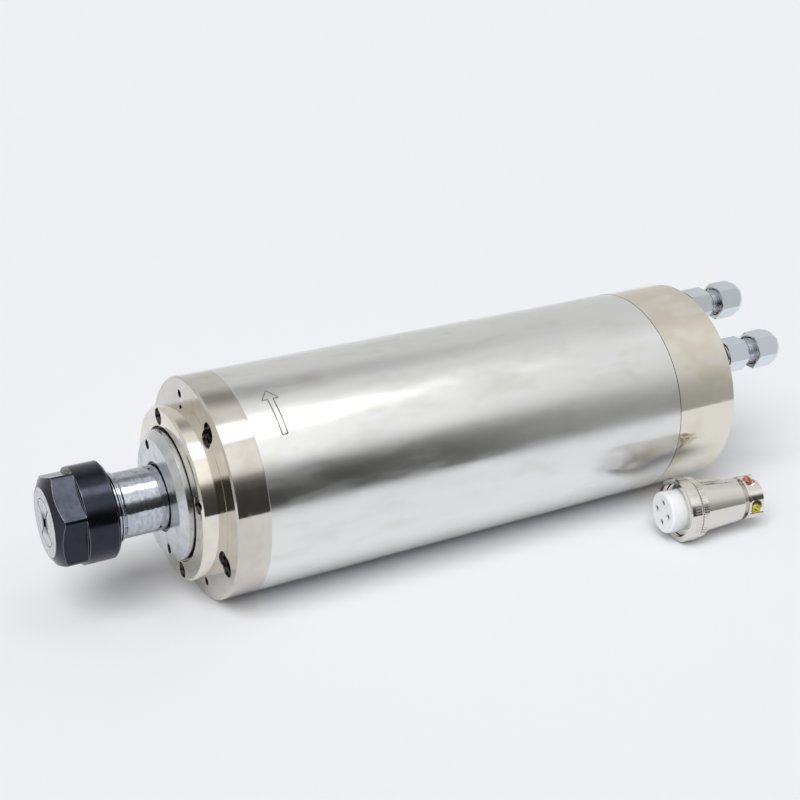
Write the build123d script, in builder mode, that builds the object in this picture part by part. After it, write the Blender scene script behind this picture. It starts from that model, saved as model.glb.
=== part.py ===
from build123d import *
from math import cos, radians, sin, tan
import os

# Water-cooled motor spindle with a collet nose, and its power plug lying beside it.
# Millimetres. The spindle axis is X, the nose points to -X, +Z is up.
# The origin is on the axis, half way along the clamped sleeve.

# Body
body_radius = 40.0
sleeve_length = 172.4
sleeve_wall = 4.0
flange_thickness = 12.0
rear_cap_length = 27.0
body_edge_chamfer = 0.6
spigot_length = 6.0
press_gap = 0.02

# Water jacket
jacket_wall = 7.0
channel_depth = 2.5
channel_width = 10.0
channel_count = 7
channel_span = 124.0
notch_depth = 2.0
notch_width = 10.0
gallery_radius = 1.9
gallery_cover = 0.4
port_width = 2.6
seal_section = 1.8
seal_groove_width = 2.6
seal_inset = 13.0

# Stator and rotor
stator_length = 88.0
stator_bore_share = 0.638
slot_count = 18
slot_width = 3.2
slot_depth_share = 0.57
slot_lip = 1.6
slot_mouth = 1.4
winding_overhang = 13.0
winding_overlap = 0.8
winding_corner = 2.5
air_gap = 0.5
rotor_depth = 5.502
end_ring_length = 6.0
end_ring_depth = 4.2
rotor_bar_count = 22
rotor_bar_radius = 1.1
rotor_bar_cover = 0.5

# Front bearings: two angular-contact rows
front_bore_radius = 12.5
front_row_width = 12.0
front_ball_share = 0.3
front_ball_count = 11
front_spacer = 4.0
front_shoulder = 4.0
front_tube_wall = 5.0
front_tube_gap = 0.5
spacer_wall = 3.0

# Rear bearings: two rows, pushed back by a dished spring washer
rear_outer_radius = 17.5
rear_section = 9.0
rear_row_width = 10.0
rear_ball_share = 0.28
rear_ball_count = 10
rear_spacer = 3.0
rear_shoulder = 4.0
rear_tube_wall = 4.5
rear_hub_overhang = 5.0
spring_height = 2.0
spring_thickness = 0.5
spring_width = 3.0
ball_clearance = 0.05
ring_corner = 0.6
cage_thickness = 1.9
cage_margin = 1.2
cage_gap = 0.3

# Bearing cap and labyrinth disc
bearing_cap_inset = 2.0
bearing_cap_height = 8.5
bearing_cap_spigot = 4.0
bearing_cap_edge = 0.8
cap_recess_depth = 5.5
labyrinth_rim_gap = 1.0
labyrinth_face_gap = 0.5
disc_inset = 7.8
disc_rim_width = 2.0
disc_bevel_length = 2.4
disc_bevel_depth = 2.8
disc_hub_radius = 15.5
disc_hub_gap = 0.4
disc_recess_depth = 2.0
spanner_hole_radius = 1.8
spanner_hole_inset = 4.8
spanner_hole_depth = 3.5
spanner_hole_angle = 65.0

# Shaft nose, collet and nut
nose_radius = 11.5
nose_length = 14.9
thread_radius = 12.5
thread_root_radius = 12.1
thread_length = 16.5
thread_chamfer = 0.8
nose_fillet = 0.8
collet_length = 31.5
collet_land = 8.0
collet_face_radius = 8.2
collet_face_land = 1.0
collet_radius = 10.5
collet_groove_start = 5.4
collet_groove_width = 2.0
collet_groove_depth = 1.2
collet_taper = 8.0
collet_bore_radius = 1.5875
collet_bore_length = 18.0
collet_relief_radius = 3.2
collet_slit_width = 0.6
collet_slit_count = 4
collet_slit_angle = 38.0
collet_bridge = 5.0
seat_clearance = 0.06
nose_setback = 8.4
relief_bore_radius = 6.4
relief_bore_length = 20.0
nut_length = 21.0
nut_radius = 17.0
nut_across_flats = 30.0
nut_hex_length = 10.0
nut_hex_angle = 40.0
nut_front_radius = 12.3
nut_front_angle = 30.0
nut_rear_chamfer = 0.9
nut_mouth_chamfer = 0.8
nut_lip = 4.0
ring_face_radius = 12.0
ring_flange_radius = 12.4
ring_cone_gap = 0.2
lip_clearance = 0.2
lip_radius = 10.0
lip_offset = 0.55

# Rest of the shaft
front_collar_radius = 15.5
front_collar_length = 3.0
rear_collar_height = 2.0
lock_nut_length = 5.0
lock_nut_radius = 13.0
lock_nut_slot = 3.0
lock_nut_slot_count = 4
shaft_tail = 0.8

# Screws
flange_screw_radius = 2.0
flange_screw_inset = 3.0
flange_screw_angle = 122.0
flange_screw_grip = 10.0
flange_head_radius = 3.5
flange_head_height = 4.0
head_recess = 0.8
head_clearance = 0.25
screw_count = 4
hex_key = 3.0
hex_key_depth = 2.0
cap_screw_radius = 1.5
cap_screw_inset = 3.5
cap_screw_angle = 75.0
cap_screw_grip = 7.0
cap_head_radius = 2.75
cap_head_height = 3.0
cap_hex_key = 2.5
rear_screw_angle = 30.0
jack_hole_radius = 1.5
jack_hole_offset = 1.0
jack_hole_depth = 8.0
jack_hole_angle = 76.5

# Rear cap, power socket and water fittings
rear_wall = 9.2
rear_cavity_gap = 6.5
socket_thread_radius = 9.5
socket_flange_radius = 12.5
socket_flange_thickness = 2.0
socket_barrel_radius = 9.9
socket_barrel_length = 11.8
socket_wall = 1.6
socket_nut_flats = 23.0
socket_nut_thickness = 3.0
insert_depth = 10.0
pin_radius = 1.0
pin_pitch_radius = 4.0
pin_reach = 8.0
pin_tail = 2.2
pin_count = 4
fitting_inset = 7.7
inlet_angle = 95.0
outlet_angle = 145.0
fitting_stem_radius = 4.8
fitting_stem_length = 9.0
washer_radius = 6.4
washer_thickness = 1.2
fitting_neck_radius = 5.4
fitting_neck_length = 1.2
fitting_flats = 12.0
fitting_hex_length = 9.4
fitting_edge = 0.7
spigot_radius = 5.0
spigot_root_radius = 4.65
spigot_reach = 8.6
nipple_radius = 2.9
nipple_reach = 5.1
water_bore_radius = 1.9
passage_radius = 2.5
fitting_nut_flats = 13.0
fitting_nut_length = 11.2
fitting_nut_gap = 5.1
inlet_hex_turn = 8.0
outlet_hex_turn = 2.0
fitting_nut_end_radius = 5.7
fitting_nut_cone = 3.0
fitting_nut_wall = 2.4
fitting_mouth_chamfer = 0.9
hose_radius = 4.15
thread_clearance = 0.06
ferrule_length = 2.0
ferrule_bore_radius = 4.45
ferrule_radius = 4.9
ferrule_taper = 0.25

# Plug lying on the floor beside the body
plug_ring_radius = 12.3
plug_distance = 75.0
plug_gap = 13.4
plug_turn = -8.0
plug_ring_length = 5.0
plug_ring_bore = 10.3
plug_ring_lip = 1.2
plug_ring_play = 0.5
plug_ring_edge = 0.5
plug_insert_radius = 8.0
plug_insert_reach = 5.5
plug_insert_edge = 0.8
plug_insert_length = 17.5
plug_sleeve_radius = 9.4
plug_sleeve_front = 2.0
plug_sleeve_rear = 14.0
plug_sleeve_flange = 10.05
plug_sleeve_step = 1.3
plug_band_radius = 11.6
plug_band_length = 2.8
plug_barrel_radius = 10.4
plug_barrel_end_radius = 8.6
plug_barrel_length = 17.6
plug_barrel_wall = 1.4
plug_neck_radius = 6.4
plug_neck_overlap = 5.0
plug_neck_gap = 3.2
plug_contact_radius = 1.6
plug_contact_bore = 1.1
plug_contact_setback = 0.8
plug_contact_length = 14.0
clamp_length = 6.4
clamp_width = 16.4
clamp_ear = 2.6
clamp_wall = 2.6
clamp_plate_radius = 8.2
clamp_plate_thickness = 1.0
clamp_split = 0.8
clamp_corner = 1.2
cable_radius = 4.0
clamp_screw_radius = 1.25
clamp_screw_spacing = 11.0
clamp_head_radius = 2.3
clamp_head_height = 1.7
clamp_head_slot = 0.6
clamp_turn = -40.0

# Places worked out from the sizes above
sleeve_front = -sleeve_length / 2
sleeve_rear = sleeve_length / 2
flange_front = sleeve_front - flange_thickness
cap_back = sleeve_rear + rear_cap_length
sleeve_bore = body_radius - sleeve_wall
jacket_bore = sleeve_bore - jacket_wall
jacket_front = sleeve_front + spigot_length
jacket_rear = sleeve_rear - spigot_length
channel_floor = sleeve_bore - channel_depth
flange_screw_pitch_radius = sleeve_bore - flange_screw_inset
jack_hole_pitch_radius = flange_screw_pitch_radius + jack_hole_offset
bearing_cap_radius = flange_screw_pitch_radius - bearing_cap_inset
cap_screw_pitch_radius = bearing_cap_radius - cap_screw_inset
disc_radius = bearing_cap_radius - disc_inset
spanner_hole_pitch_radius = disc_radius - spanner_hole_inset
fitting_pitch_radius = body_radius - fitting_inset
rear_cavity_radius = flange_screw_pitch_radius - rear_cavity_gap
channel_pitch = (channel_span - channel_width) / (channel_count - 1)
gallery_pitch_radius = channel_floor - gallery_cover - gallery_radius

front_stack_start = flange_front + bearing_cap_spigot
front_row_a = front_stack_start + front_row_width / 2
front_row_b = front_stack_start + front_row_width * 1.5 + front_spacer
front_stack_end = front_stack_start + 2 * front_row_width + front_spacer
front_tube_radius = jacket_bore - front_tube_gap
front_outer_radius = front_tube_radius - front_tube_wall
front_pitch = (front_bore_radius + front_outer_radius) / 2
front_ball_radius = front_ball_share * (front_outer_radius - front_bore_radius)

rear_bore_radius = rear_outer_radius - rear_section
rear_collar_radius = rear_bore_radius + rear_collar_height
rear_hub_end = sleeve_rear + rear_hub_overhang
rear_stack_end = rear_hub_end
rear_row_b = rear_stack_end - rear_row_width / 2
rear_row_a = rear_stack_end - rear_row_width * 1.5 - rear_spacer
rear_stack_start = rear_stack_end - 2 * rear_row_width - rear_spacer
rear_hub_start = rear_stack_start - spring_height - rear_shoulder
rear_pitch = (rear_bore_radius + rear_outer_radius) / 2
rear_ball_radius = rear_ball_share * rear_section
shoulder_gap = cage_thickness / 2 + cage_gap

cap_front = flange_front - bearing_cap_height
recess_floor = cap_front + cap_recess_depth
disc_back = recess_floor - labyrinth_face_gap
disc_front = cap_front - disc_rim_width - disc_bevel_length
nose_start = disc_front + disc_recess_depth
thread_start = disc_front - nose_length
nose_end = thread_start - thread_length
collet_face = nose_end - nose_setback
collet_end = collet_face + collet_length
taper_start = collet_face + collet_land
taper_slope = tan(radians(collet_taper))
stator_bore = stator_bore_share * jacket_bore
slot_depth = slot_depth_share * (jacket_bore - stator_bore)
winding_thickness = slot_depth + 2 * winding_overlap
rotor_radius = stator_bore - air_gap
rotor_seat_radius = rotor_radius - rotor_depth


def half_section(points, plane=Plane.XZ):
    # closed outline of (distance along the axis, radius) points, to be turned about the axis
    with BuildSketch(plane) as section:
        with BuildLine():
            Polyline(*points, close=True)
        make_face()
    return section.sketch


def tube_section(start, end, inner, outer):
    return half_section([(start, inner), (end, inner), (end, outer), (start, outer)])


def race_section(middle, width, inner, outer, pitch, ball):
    # ring section with a ball groove cut from its free side and eased outer corners
    with BuildSketch(Plane.XZ) as section:
        with Locations((middle, (inner + outer) / 2)):
            Rectangle(width, outer - inner)
        chamfer(section.vertices(), ring_corner)
        with Locations((middle, pitch)):
            Circle(ball + ball_clearance, mode=Mode.SUBTRACT)
    return section.sketch


def cap_screws(front, circle, angle, radius, head_radius, head_height, length, key, toward):
    # socket-head screws in a circle; toward is +1 when they point to the rear, -1 to the nose
    with BuildPart() as screws:
        with BuildSketch(Plane.YZ.offset(front)):
            with PolarLocations(circle, screw_count, start_angle=angle):
                Circle(head_radius)
        extrude(amount=toward * head_height)
        with BuildSketch(Plane.YZ.offset(front + toward * head_height)):
            with PolarLocations(circle, screw_count, start_angle=angle):
                Circle(radius)
        extrude(amount=toward * length)
        with BuildSketch(Plane.YZ.offset(front)):
            with PolarLocations(circle, screw_count, start_angle=angle):
                RegularPolygon(key / 2, 6, major_radius=False)
        extrude(amount=toward * hex_key_depth, mode=Mode.SUBTRACT)
    return screws


def save(builder, name):
    builder.part.label = name
    export_step(builder.part, f"parts/{name}.step")


os.makedirs("parts", exist_ok=True)

# Body
with BuildPart() as outer_sleeve:
    revolve(tube_section(sleeve_front, sleeve_rear, sleeve_bore, body_radius), axis=Axis.X)
save(outer_sleeve, "outer_sleeve")

flange_head_seat = flange_front + head_recess + flange_head_height
with BuildPart() as front_flange:
    revolve(
        half_section([
            (flange_front, front_outer_radius),
            (flange_front, body_radius - body_edge_chamfer),
            (flange_front + body_edge_chamfer, body_radius),
            (sleeve_front, body_radius),
            (sleeve_front, sleeve_bore),
            (jacket_front, sleeve_bore),
            (jacket_front, front_tube_radius),
            (front_stack_end + front_shoulder, front_tube_radius),
            (front_stack_end + front_shoulder, front_collar_radius + spacer_wall),
            (front_stack_end, front_collar_radius + spacer_wall),
            (front_stack_end, front_outer_radius),
        ]),
        axis=Axis.X,
    )
    with BuildSketch(Plane.YZ.offset(flange_front)):
        with PolarLocations(flange_screw_pitch_radius, screw_count, start_angle=flange_screw_angle):
            Circle(flange_screw_radius + thread_clearance)
    extrude(amount=flange_thickness + spigot_length, mode=Mode.SUBTRACT)
    with BuildSketch(Plane.YZ.offset(flange_front)):
        with PolarLocations(flange_screw_pitch_radius, screw_count, start_angle=flange_screw_angle):
            Circle(flange_head_radius + head_clearance)
    extrude(amount=flange_head_seat - flange_front, mode=Mode.SUBTRACT)
    with BuildSketch(Plane.YZ.offset(flange_front)):
        with PolarLocations(jack_hole_pitch_radius, 2, start_angle=jack_hole_angle):
            Circle(jack_hole_radius)
    extrude(amount=jack_hole_depth, mode=Mode.SUBTRACT)
    with BuildSketch(Plane.YZ.offset(flange_front)):
        with PolarLocations(cap_screw_pitch_radius, screw_count, start_angle=cap_screw_angle):
            Circle(cap_screw_radius)
    extrude(amount=cap_screw_grip + thread_clearance, mode=Mode.SUBTRACT)
save(front_flange, "front_flange")

flange_screw_length = jacket_front + flange_screw_grip - flange_head_seat
front_flange_screws = cap_screws(
    flange_front + head_recess, flange_screw_pitch_radius, flange_screw_angle,
    flange_screw_radius, flange_head_radius, flange_head_height, flange_screw_length, hex_key, 1)
save(front_flange_screws, "front_flange_screws")

cap_head_seat = cap_front + head_recess + cap_head_height
with BuildPart() as bearing_cap:
    revolve(
        half_section([
            (recess_floor, disc_hub_radius + disc_hub_gap),
            (front_stack_start, disc_hub_radius + disc_hub_gap),
            (front_stack_start, front_outer_radius),
            (flange_front, front_outer_radius),
            (flange_front, bearing_cap_radius),
            (cap_front + bearing_cap_edge, bearing_cap_radius),
            (cap_front, bearing_cap_radius - bearing_cap_edge),
            (cap_front, disc_radius + labyrinth_rim_gap),
            (recess_floor, disc_radius + labyrinth_rim_gap),
        ]),
        axis=Axis.X,
    )
    revolve(
        tube_section(
            front_stack_start - front_spacer / 2, front_stack_start,
            disc_hub_radius, front_outer_radius - spacer_wall),
        axis=Axis.X,
        mode=Mode.SUBTRACT,
    )
    with BuildSketch(Plane.YZ.offset(cap_front)):
        with PolarLocations(cap_screw_pitch_radius, screw_count, start_angle=cap_screw_angle):
            Circle(cap_screw_radius + thread_clearance)
    extrude(amount=bearing_cap_height, mode=Mode.SUBTRACT)
    with BuildSketch(Plane.YZ.offset(cap_front)):
        with PolarLocations(cap_screw_pitch_radius, screw_count, start_angle=cap_screw_angle):
            Circle(cap_head_radius + head_clearance)
    extrude(amount=cap_head_seat - cap_front, mode=Mode.SUBTRACT)
save(bearing_cap, "bearing_cap")

bearing_cap_screws = cap_screws(
    cap_front + head_recess, cap_screw_pitch_radius, cap_screw_angle, cap_screw_radius,
    cap_head_radius, cap_head_height, flange_front + cap_screw_grip - cap_head_seat, cap_hex_key, 1)
save(bearing_cap_screws, "bearing_cap_screws")

# Water jacket
with BuildPart() as water_jacket:
    revolve(tube_section(jacket_front, jacket_rear, jacket_bore, sleeve_bore), axis=Axis.X)
    for index in range(channel_count):
        channel_start = -channel_span / 2 + index * channel_pitch
        revolve(
            tube_section(channel_start, channel_start + channel_width, channel_floor, body_radius),
            axis=Axis.X,
            mode=Mode.SUBTRACT,
        )
        if index < channel_count - 1:
            # neighbouring channels join through a notch, on alternate sides
            notch_angle = outlet_angle + 180 * (index % 2)
            with BuildSketch(Plane.YZ.offset(channel_start + channel_width)):
                with PolarLocations(sleeve_bore, 1, start_angle=notch_angle):
                    Rectangle(2 * notch_depth, notch_width)
            extrude(amount=channel_pitch - channel_width, mode=Mode.SUBTRACT)
    for seal_place in (jacket_front + seal_inset, jacket_rear - seal_inset):
        revolve(
            tube_section(
                seal_place - seal_groove_width / 2, seal_place + seal_groove_width / 2,
                sleeve_bore - seal_section, body_radius),
            axis=Axis.X,
            mode=Mode.SUBTRACT,
        )
    with BuildSketch(Plane.YZ.offset(jacket_rear)):
        with PolarLocations(gallery_pitch_radius, 1, start_angle=inlet_angle):
            Circle(gallery_radius)
    extrude(amount=-(jacket_rear + channel_span / 2 - channel_width / 2), mode=Mode.SUBTRACT)
    with BuildSketch(Plane.YZ.offset(jacket_rear)):
        with PolarLocations(gallery_pitch_radius, 1, start_angle=outlet_angle):
            Circle(gallery_radius)
    extrude(amount=-(jacket_rear - channel_span / 2 + channel_width / 2), mode=Mode.SUBTRACT)
    # ports that rise from the two galleries into the first and the last channel
    for port_place, port_angle in (
        (-channel_span / 2 + channel_width / 2, inlet_angle),
        (channel_span / 2 - channel_width / 2, outlet_angle),
    ):
        with BuildSketch(Plane.YZ.offset(port_place - port_width / 2)):
            with PolarLocations(sleeve_bore, 1, start_angle=port_angle):
                Rectangle(2 * (sleeve_bore - gallery_pitch_radius), port_width)
        extrude(amount=port_width, mode=Mode.SUBTRACT)
    with BuildSketch(Plane.YZ.offset(jacket_front)):
        with PolarLocations(flange_screw_pitch_radius, screw_count, start_angle=flange_screw_angle):
            Circle(flange_screw_radius)
    extrude(amount=flange_screw_grip + thread_clearance, mode=Mode.SUBTRACT)
    with BuildSketch(Plane.YZ.offset(jacket_rear)):
        with PolarLocations(flange_screw_pitch_radius, screw_count, start_angle=rear_screw_angle):
            Circle(flange_screw_radius)
    extrude(amount=-(flange_screw_grip + thread_clearance), mode=Mode.SUBTRACT)
save(water_jacket, "water_jacket")

with BuildPart() as jacket_seals:
    for seal_place in (jacket_front + seal_inset, jacket_rear - seal_inset):
        with BuildSketch(Plane.XZ):
            with Locations((seal_place, sleeve_bore - seal_section / 2)):
                Circle(seal_section / 2 - press_gap)
        revolve(axis=Axis.X)
save(jacket_seals, "jacket_seals")

# Stator and rotor
slot_bottom = stator_bore + slot_lip + slot_depth
slot_middle = stator_bore + slot_lip + slot_depth / 2
with BuildPart() as stator_core:
    with BuildSketch(Plane.YZ.offset(-stator_length / 2)):
        Circle(jacket_bore)
        Circle(stator_bore, mode=Mode.SUBTRACT)
        with PolarLocations(slot_middle, slot_count):
            Rectangle(slot_depth, slot_width, mode=Mode.SUBTRACT)
        with PolarLocations(stator_bore + slot_lip / 2, slot_count):
            Rectangle(slot_lip * 2, slot_mouth, mode=Mode.SUBTRACT)
    extrude(amount=stator_length)
save(stator_core, "stator_core")

winding_inner = slot_middle - winding_thickness / 2
with BuildPart() as stator_windings:
    with BuildSketch(Plane.YZ.offset(-stator_length / 2 - winding_corner)):
        with PolarLocations(slot_middle, slot_count):
            Rectangle(slot_depth - press_gap, slot_width - press_gap)
    extrude(amount=stator_length + 2 * winding_corner)
    for side in (-1, 1):
        with BuildSketch(Plane.XZ):
            with Locations((side * (stator_length / 2 + winding_overhang / 2 + press_gap), slot_middle)):
                RectangleRounded(winding_overhang, winding_thickness, winding_corner)
        revolve(axis=Axis.X)
save(stator_windings, "stator_windings")

bar_circle = rotor_radius - rotor_bar_cover - rotor_bar_radius
with BuildPart() as rotor_core:
    with BuildSketch(Plane.YZ.offset(-stator_length / 2)):
        Circle(rotor_radius)
        Circle(rotor_seat_radius, mode=Mode.SUBTRACT)
        with PolarLocations(bar_circle, rotor_bar_count):
            Circle(rotor_bar_radius, mode=Mode.SUBTRACT)
    extrude(amount=stator_length)
save(rotor_core, "rotor_core")

with BuildPart() as rotor_cage:
    with BuildSketch(Plane.YZ.offset(-stator_length / 2)):
        with PolarLocations(bar_circle, rotor_bar_count):
            Circle(rotor_bar_radius)
    extrude(amount=stator_length)
    for ring_start in (-stator_length / 2 - end_ring_length, stator_length / 2):
        revolve(
            tube_section(
                ring_start, ring_start + end_ring_length,
                rotor_radius - end_ring_depth, rotor_radius - rotor_bar_cover / 2),
            axis=Axis.X,
        )
save(rotor_cage, "rotor_cage")

# Bearings
def ring_pair(middles, width, inner, outer, pitch, ball):
    with BuildPart() as rings:
        for middle in middles:
            revolve(race_section(middle, width, inner, outer, pitch, ball), axis=Axis.X)
    return rings


def ball_rows(middles, pitch, count, ball):
    with BuildPart() as balls:
        for middle in middles:
            with Locations(Plane.YZ.offset(middle)):
                with PolarLocations(pitch, count):
                    Sphere(ball)
    return balls


def ball_cages(middles, pitch, count, ball):
    with BuildPart() as cages:
        for middle in middles:
            half_width = ball + cage_margin
            revolve(
                tube_section(
                    middle - half_width, middle + half_width,
                    pitch - cage_thickness / 2, pitch + cage_thickness / 2),
                axis=Axis.X,
            )
            with Locations(Plane.YZ.offset(middle)):
                with PolarLocations(pitch, count):
                    Cylinder(
                        ball + ball_clearance, 2 * ball,
                        rotation=(0, 90, 0), mode=Mode.SUBTRACT)
    return cages


front_rows = (front_row_a, front_row_b)
rear_rows = (rear_row_a, rear_row_b)
save(ring_pair(front_rows, front_row_width, front_pitch + shoulder_gap, front_outer_radius,
               front_pitch, front_ball_radius), "front_bearing_outer_rings")
save(ring_pair(front_rows, front_row_width, front_bore_radius, front_pitch - shoulder_gap,
               front_pitch, front_ball_radius), "front_bearing_inner_rings")
save(ball_rows(front_rows, front_pitch, front_ball_count, front_ball_radius), "front_bearing_balls")
save(ball_cages(front_rows, front_pitch, front_ball_count, front_ball_radius), "front_bearing_cages")
save(ring_pair(rear_rows, rear_row_width, rear_pitch + shoulder_gap, rear_outer_radius,
               rear_pitch, rear_ball_radius), "rear_bearing_outer_rings")
save(ring_pair(rear_rows, rear_row_width, rear_bore_radius, rear_pitch - shoulder_gap,
               rear_pitch, rear_ball_radius), "rear_bearing_inner_rings")
save(ball_rows(rear_rows, rear_pitch, rear_ball_count, rear_ball_radius), "rear_bearing_balls")
save(ball_cages(rear_rows, rear_pitch, rear_ball_count, rear_ball_radius), "rear_bearing_cages")

front_gap_start = front_stack_start + front_row_width
with BuildPart() as front_outer_spacer:
    revolve(
        tube_section(
            front_gap_start, front_gap_start + front_spacer,
            front_outer_radius - spacer_wall, front_outer_radius),
        axis=Axis.X,
    )
save(front_outer_spacer, "front_outer_spacer")

with BuildPart() as front_inner_spacer:
    revolve(
        tube_section(
            front_gap_start, front_gap_start + front_spacer,
            front_bore_radius, front_bore_radius + spacer_wall),
        axis=Axis.X,
    )
save(front_inner_spacer, "front_inner_spacer")

rear_gap_start = rear_stack_start + rear_row_width
with BuildPart() as rear_outer_spacer:
    revolve(
        tube_section(
            rear_gap_start, rear_gap_start + rear_spacer,
            rear_outer_radius - spacer_wall, rear_outer_radius),
        axis=Axis.X,
    )
save(rear_outer_spacer, "rear_outer_spacer")

with BuildPart() as rear_inner_spacer:
    revolve(
        tube_section(
            rear_gap_start, rear_gap_start + rear_spacer,
            rear_bore_radius, rear_bore_radius + spacer_wall),
        axis=Axis.X,
    )
save(rear_inner_spacer, "rear_inner_spacer")

with BuildPart() as preload_spring:
    # dished washer that pushes the rear outer rings away from the shoulder
    spring_inner = rear_outer_radius - spring_width
    spring_start = rear_stack_start - spring_height
    revolve(
        half_section([
            (spring_start, spring_inner),
            (spring_start + spring_thickness, spring_inner),
            (rear_stack_start, rear_outer_radius - press_gap),
            (rear_stack_start - spring_thickness, rear_outer_radius - press_gap),
        ]),
        axis=Axis.X,
    )
save(preload_spring, "preload_spring")

# Rear bearing housing and rear cap
rear_tube_radius = rear_outer_radius + rear_tube_wall
with BuildPart() as rear_bearing_housing:
    revolve(
        half_section([
            (rear_hub_start, rear_outer_radius - spring_width),
            (rear_hub_start, rear_tube_radius),
            (jacket_rear, rear_tube_radius),
            (jacket_rear, sleeve_bore),
            (sleeve_rear, sleeve_bore),
            (sleeve_rear, rear_tube_radius),
            (rear_hub_end, rear_tube_radius),
            (rear_hub_end, rear_outer_radius),
            (rear_hub_start + rear_shoulder, rear_outer_radius),
            (rear_hub_start + rear_shoulder, rear_outer_radius - spring_width),
        ]),
        axis=Axis.X,
    )
    with BuildSketch(Plane.YZ.offset(jacket_rear)):
        with PolarLocations(flange_screw_pitch_radius, screw_count, start_angle=rear_screw_angle):
            Circle(flange_screw_radius + thread_clearance)
        for port_angle in (inlet_angle, outlet_angle):
            with PolarLocations(gallery_pitch_radius, 1, start_angle=port_angle):
                Circle(gallery_radius)
    extrude(amount=spigot_length, mode=Mode.SUBTRACT)
save(rear_bearing_housing, "rear_bearing_housing")

rear_head_seat = cap_back - head_recess - flange_head_height
with BuildPart() as rear_end_cap:
    revolve(
        half_section([
            (sleeve_rear, rear_cavity_radius),
            (sleeve_rear, body_radius),
            (cap_back - body_edge_chamfer, body_radius),
            (cap_back, body_radius - body_edge_chamfer),
            (cap_back, socket_thread_radius),
            (cap_back - rear_wall, socket_thread_radius),
            (cap_back - rear_wall, rear_cavity_radius),
        ]),
        axis=Axis.X,
    )
    with BuildSketch(Plane.YZ.offset(cap_back)):
        with PolarLocations(flange_screw_pitch_radius, screw_count, start_angle=rear_screw_angle):
            Circle(flange_screw_radius + thread_clearance)
    extrude(amount=-rear_cap_length, mode=Mode.SUBTRACT)
    with BuildSketch(Plane.YZ.offset(cap_back)):
        with PolarLocations(flange_screw_pitch_radius, screw_count, start_angle=rear_screw_angle):
            Circle(flange_head_radius + head_clearance)
    extrude(amount=rear_head_seat - cap_back, mode=Mode.SUBTRACT)
    for port_angle in (inlet_angle, outlet_angle):
        with BuildSketch(Plane.YZ.offset(cap_back)):
            with PolarLocations(fitting_pitch_radius, 1, start_angle=port_angle):
                Circle(fitting_stem_radius)
        extrude(amount=-fitting_stem_length, mode=Mode.SUBTRACT)
        with BuildSketch(Plane.YZ.offset(cap_back)):
            with PolarLocations(fitting_pitch_radius, 1, start_angle=port_angle):
                Circle(passage_radius)
        extrude(amount=-rear_cap_length, mode=Mode.SUBTRACT)
save(rear_end_cap, "rear_end_cap")

rear_screw_length = rear_head_seat - (jacket_rear - flange_screw_grip)
rear_cap_screws = cap_screws(
    cap_back - head_recess, flange_screw_pitch_radius, rear_screw_angle, flange_screw_radius,
    flange_head_radius, flange_head_height, rear_screw_length, hex_key, -1)
save(rear_cap_screws, "rear_cap_screws")

# Shaft and what turns with it
rear_journal_end = rear_stack_end + lock_nut_length + shaft_tail
core_end = stator_length / 2
collar_rear_start = rear_stack_start - spring_height
taper_mouth_radius = collet_radius - (nose_end - taper_start) * taper_slope + seat_clearance
taper_end = collet_end + collet_land / 2
taper_end_radius = collet_radius - (taper_end - taper_start) * taper_slope + seat_clearance
with BuildPart() as spindle_shaft:
    revolve(
        half_section([
            (nose_end, taper_mouth_radius),
            (nose_end, thread_root_radius - thread_chamfer),
            (nose_end + thread_chamfer, thread_root_radius),
            (thread_start - thread_chamfer, thread_root_radius),
            (thread_start, nose_radius),
            (nose_start, nose_radius),
            (nose_start, front_bore_radius),
            (front_stack_end, front_bore_radius),
            (front_stack_end, front_collar_radius),
            (front_stack_end + front_collar_length, front_collar_radius),
            (front_stack_end + front_collar_length, rotor_seat_radius),
            (core_end, rotor_seat_radius),
            (core_end, rear_collar_radius),
            (rear_stack_start, rear_collar_radius),
            (rear_stack_start, rear_bore_radius),
            (rear_journal_end, rear_bore_radius),
            (rear_journal_end, 0),
            (taper_end + relief_bore_length, 0),
            (taper_end + relief_bore_length, relief_bore_radius),
            (taper_end, relief_bore_radius),
            (taper_end, taper_end_radius),
        ]),
        axis=Axis.X,
    )
save(spindle_shaft, "spindle_shaft")

with BuildPart() as labyrinth_disc:
    revolve(
        half_section([
            (disc_front, front_bore_radius),
            (disc_front, disc_radius - disc_bevel_depth),
            (disc_front + disc_bevel_length, disc_radius),
            (disc_back, disc_radius),
            (disc_back, disc_hub_radius),
            (front_stack_start, disc_hub_radius),
            (front_stack_start, front_bore_radius),
        ]),
        axis=Axis.X,
    )
    with BuildSketch(Plane.YZ.offset(disc_front)):
        with PolarLocations(spanner_hole_pitch_radius, 2, start_angle=spanner_hole_angle):
            Circle(spanner_hole_radius)
    extrude(amount=spanner_hole_depth, mode=Mode.SUBTRACT)
save(labyrinth_disc, "labyrinth_disc")

with BuildPart() as rear_lock_nut:
    revolve(
        tube_section(
            rear_stack_end, rear_stack_end + lock_nut_length, rear_bore_radius, lock_nut_radius),
        axis=Axis.X,
    )
    with BuildSketch(Plane.YZ.offset(rear_stack_end)):
        with PolarLocations(lock_nut_radius, lock_nut_slot_count):
            Rectangle(lock_nut_slot, lock_nut_slot)
    extrude(amount=lock_nut_length, mode=Mode.SUBTRACT)
save(rear_lock_nut, "rear_lock_nut")

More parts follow.
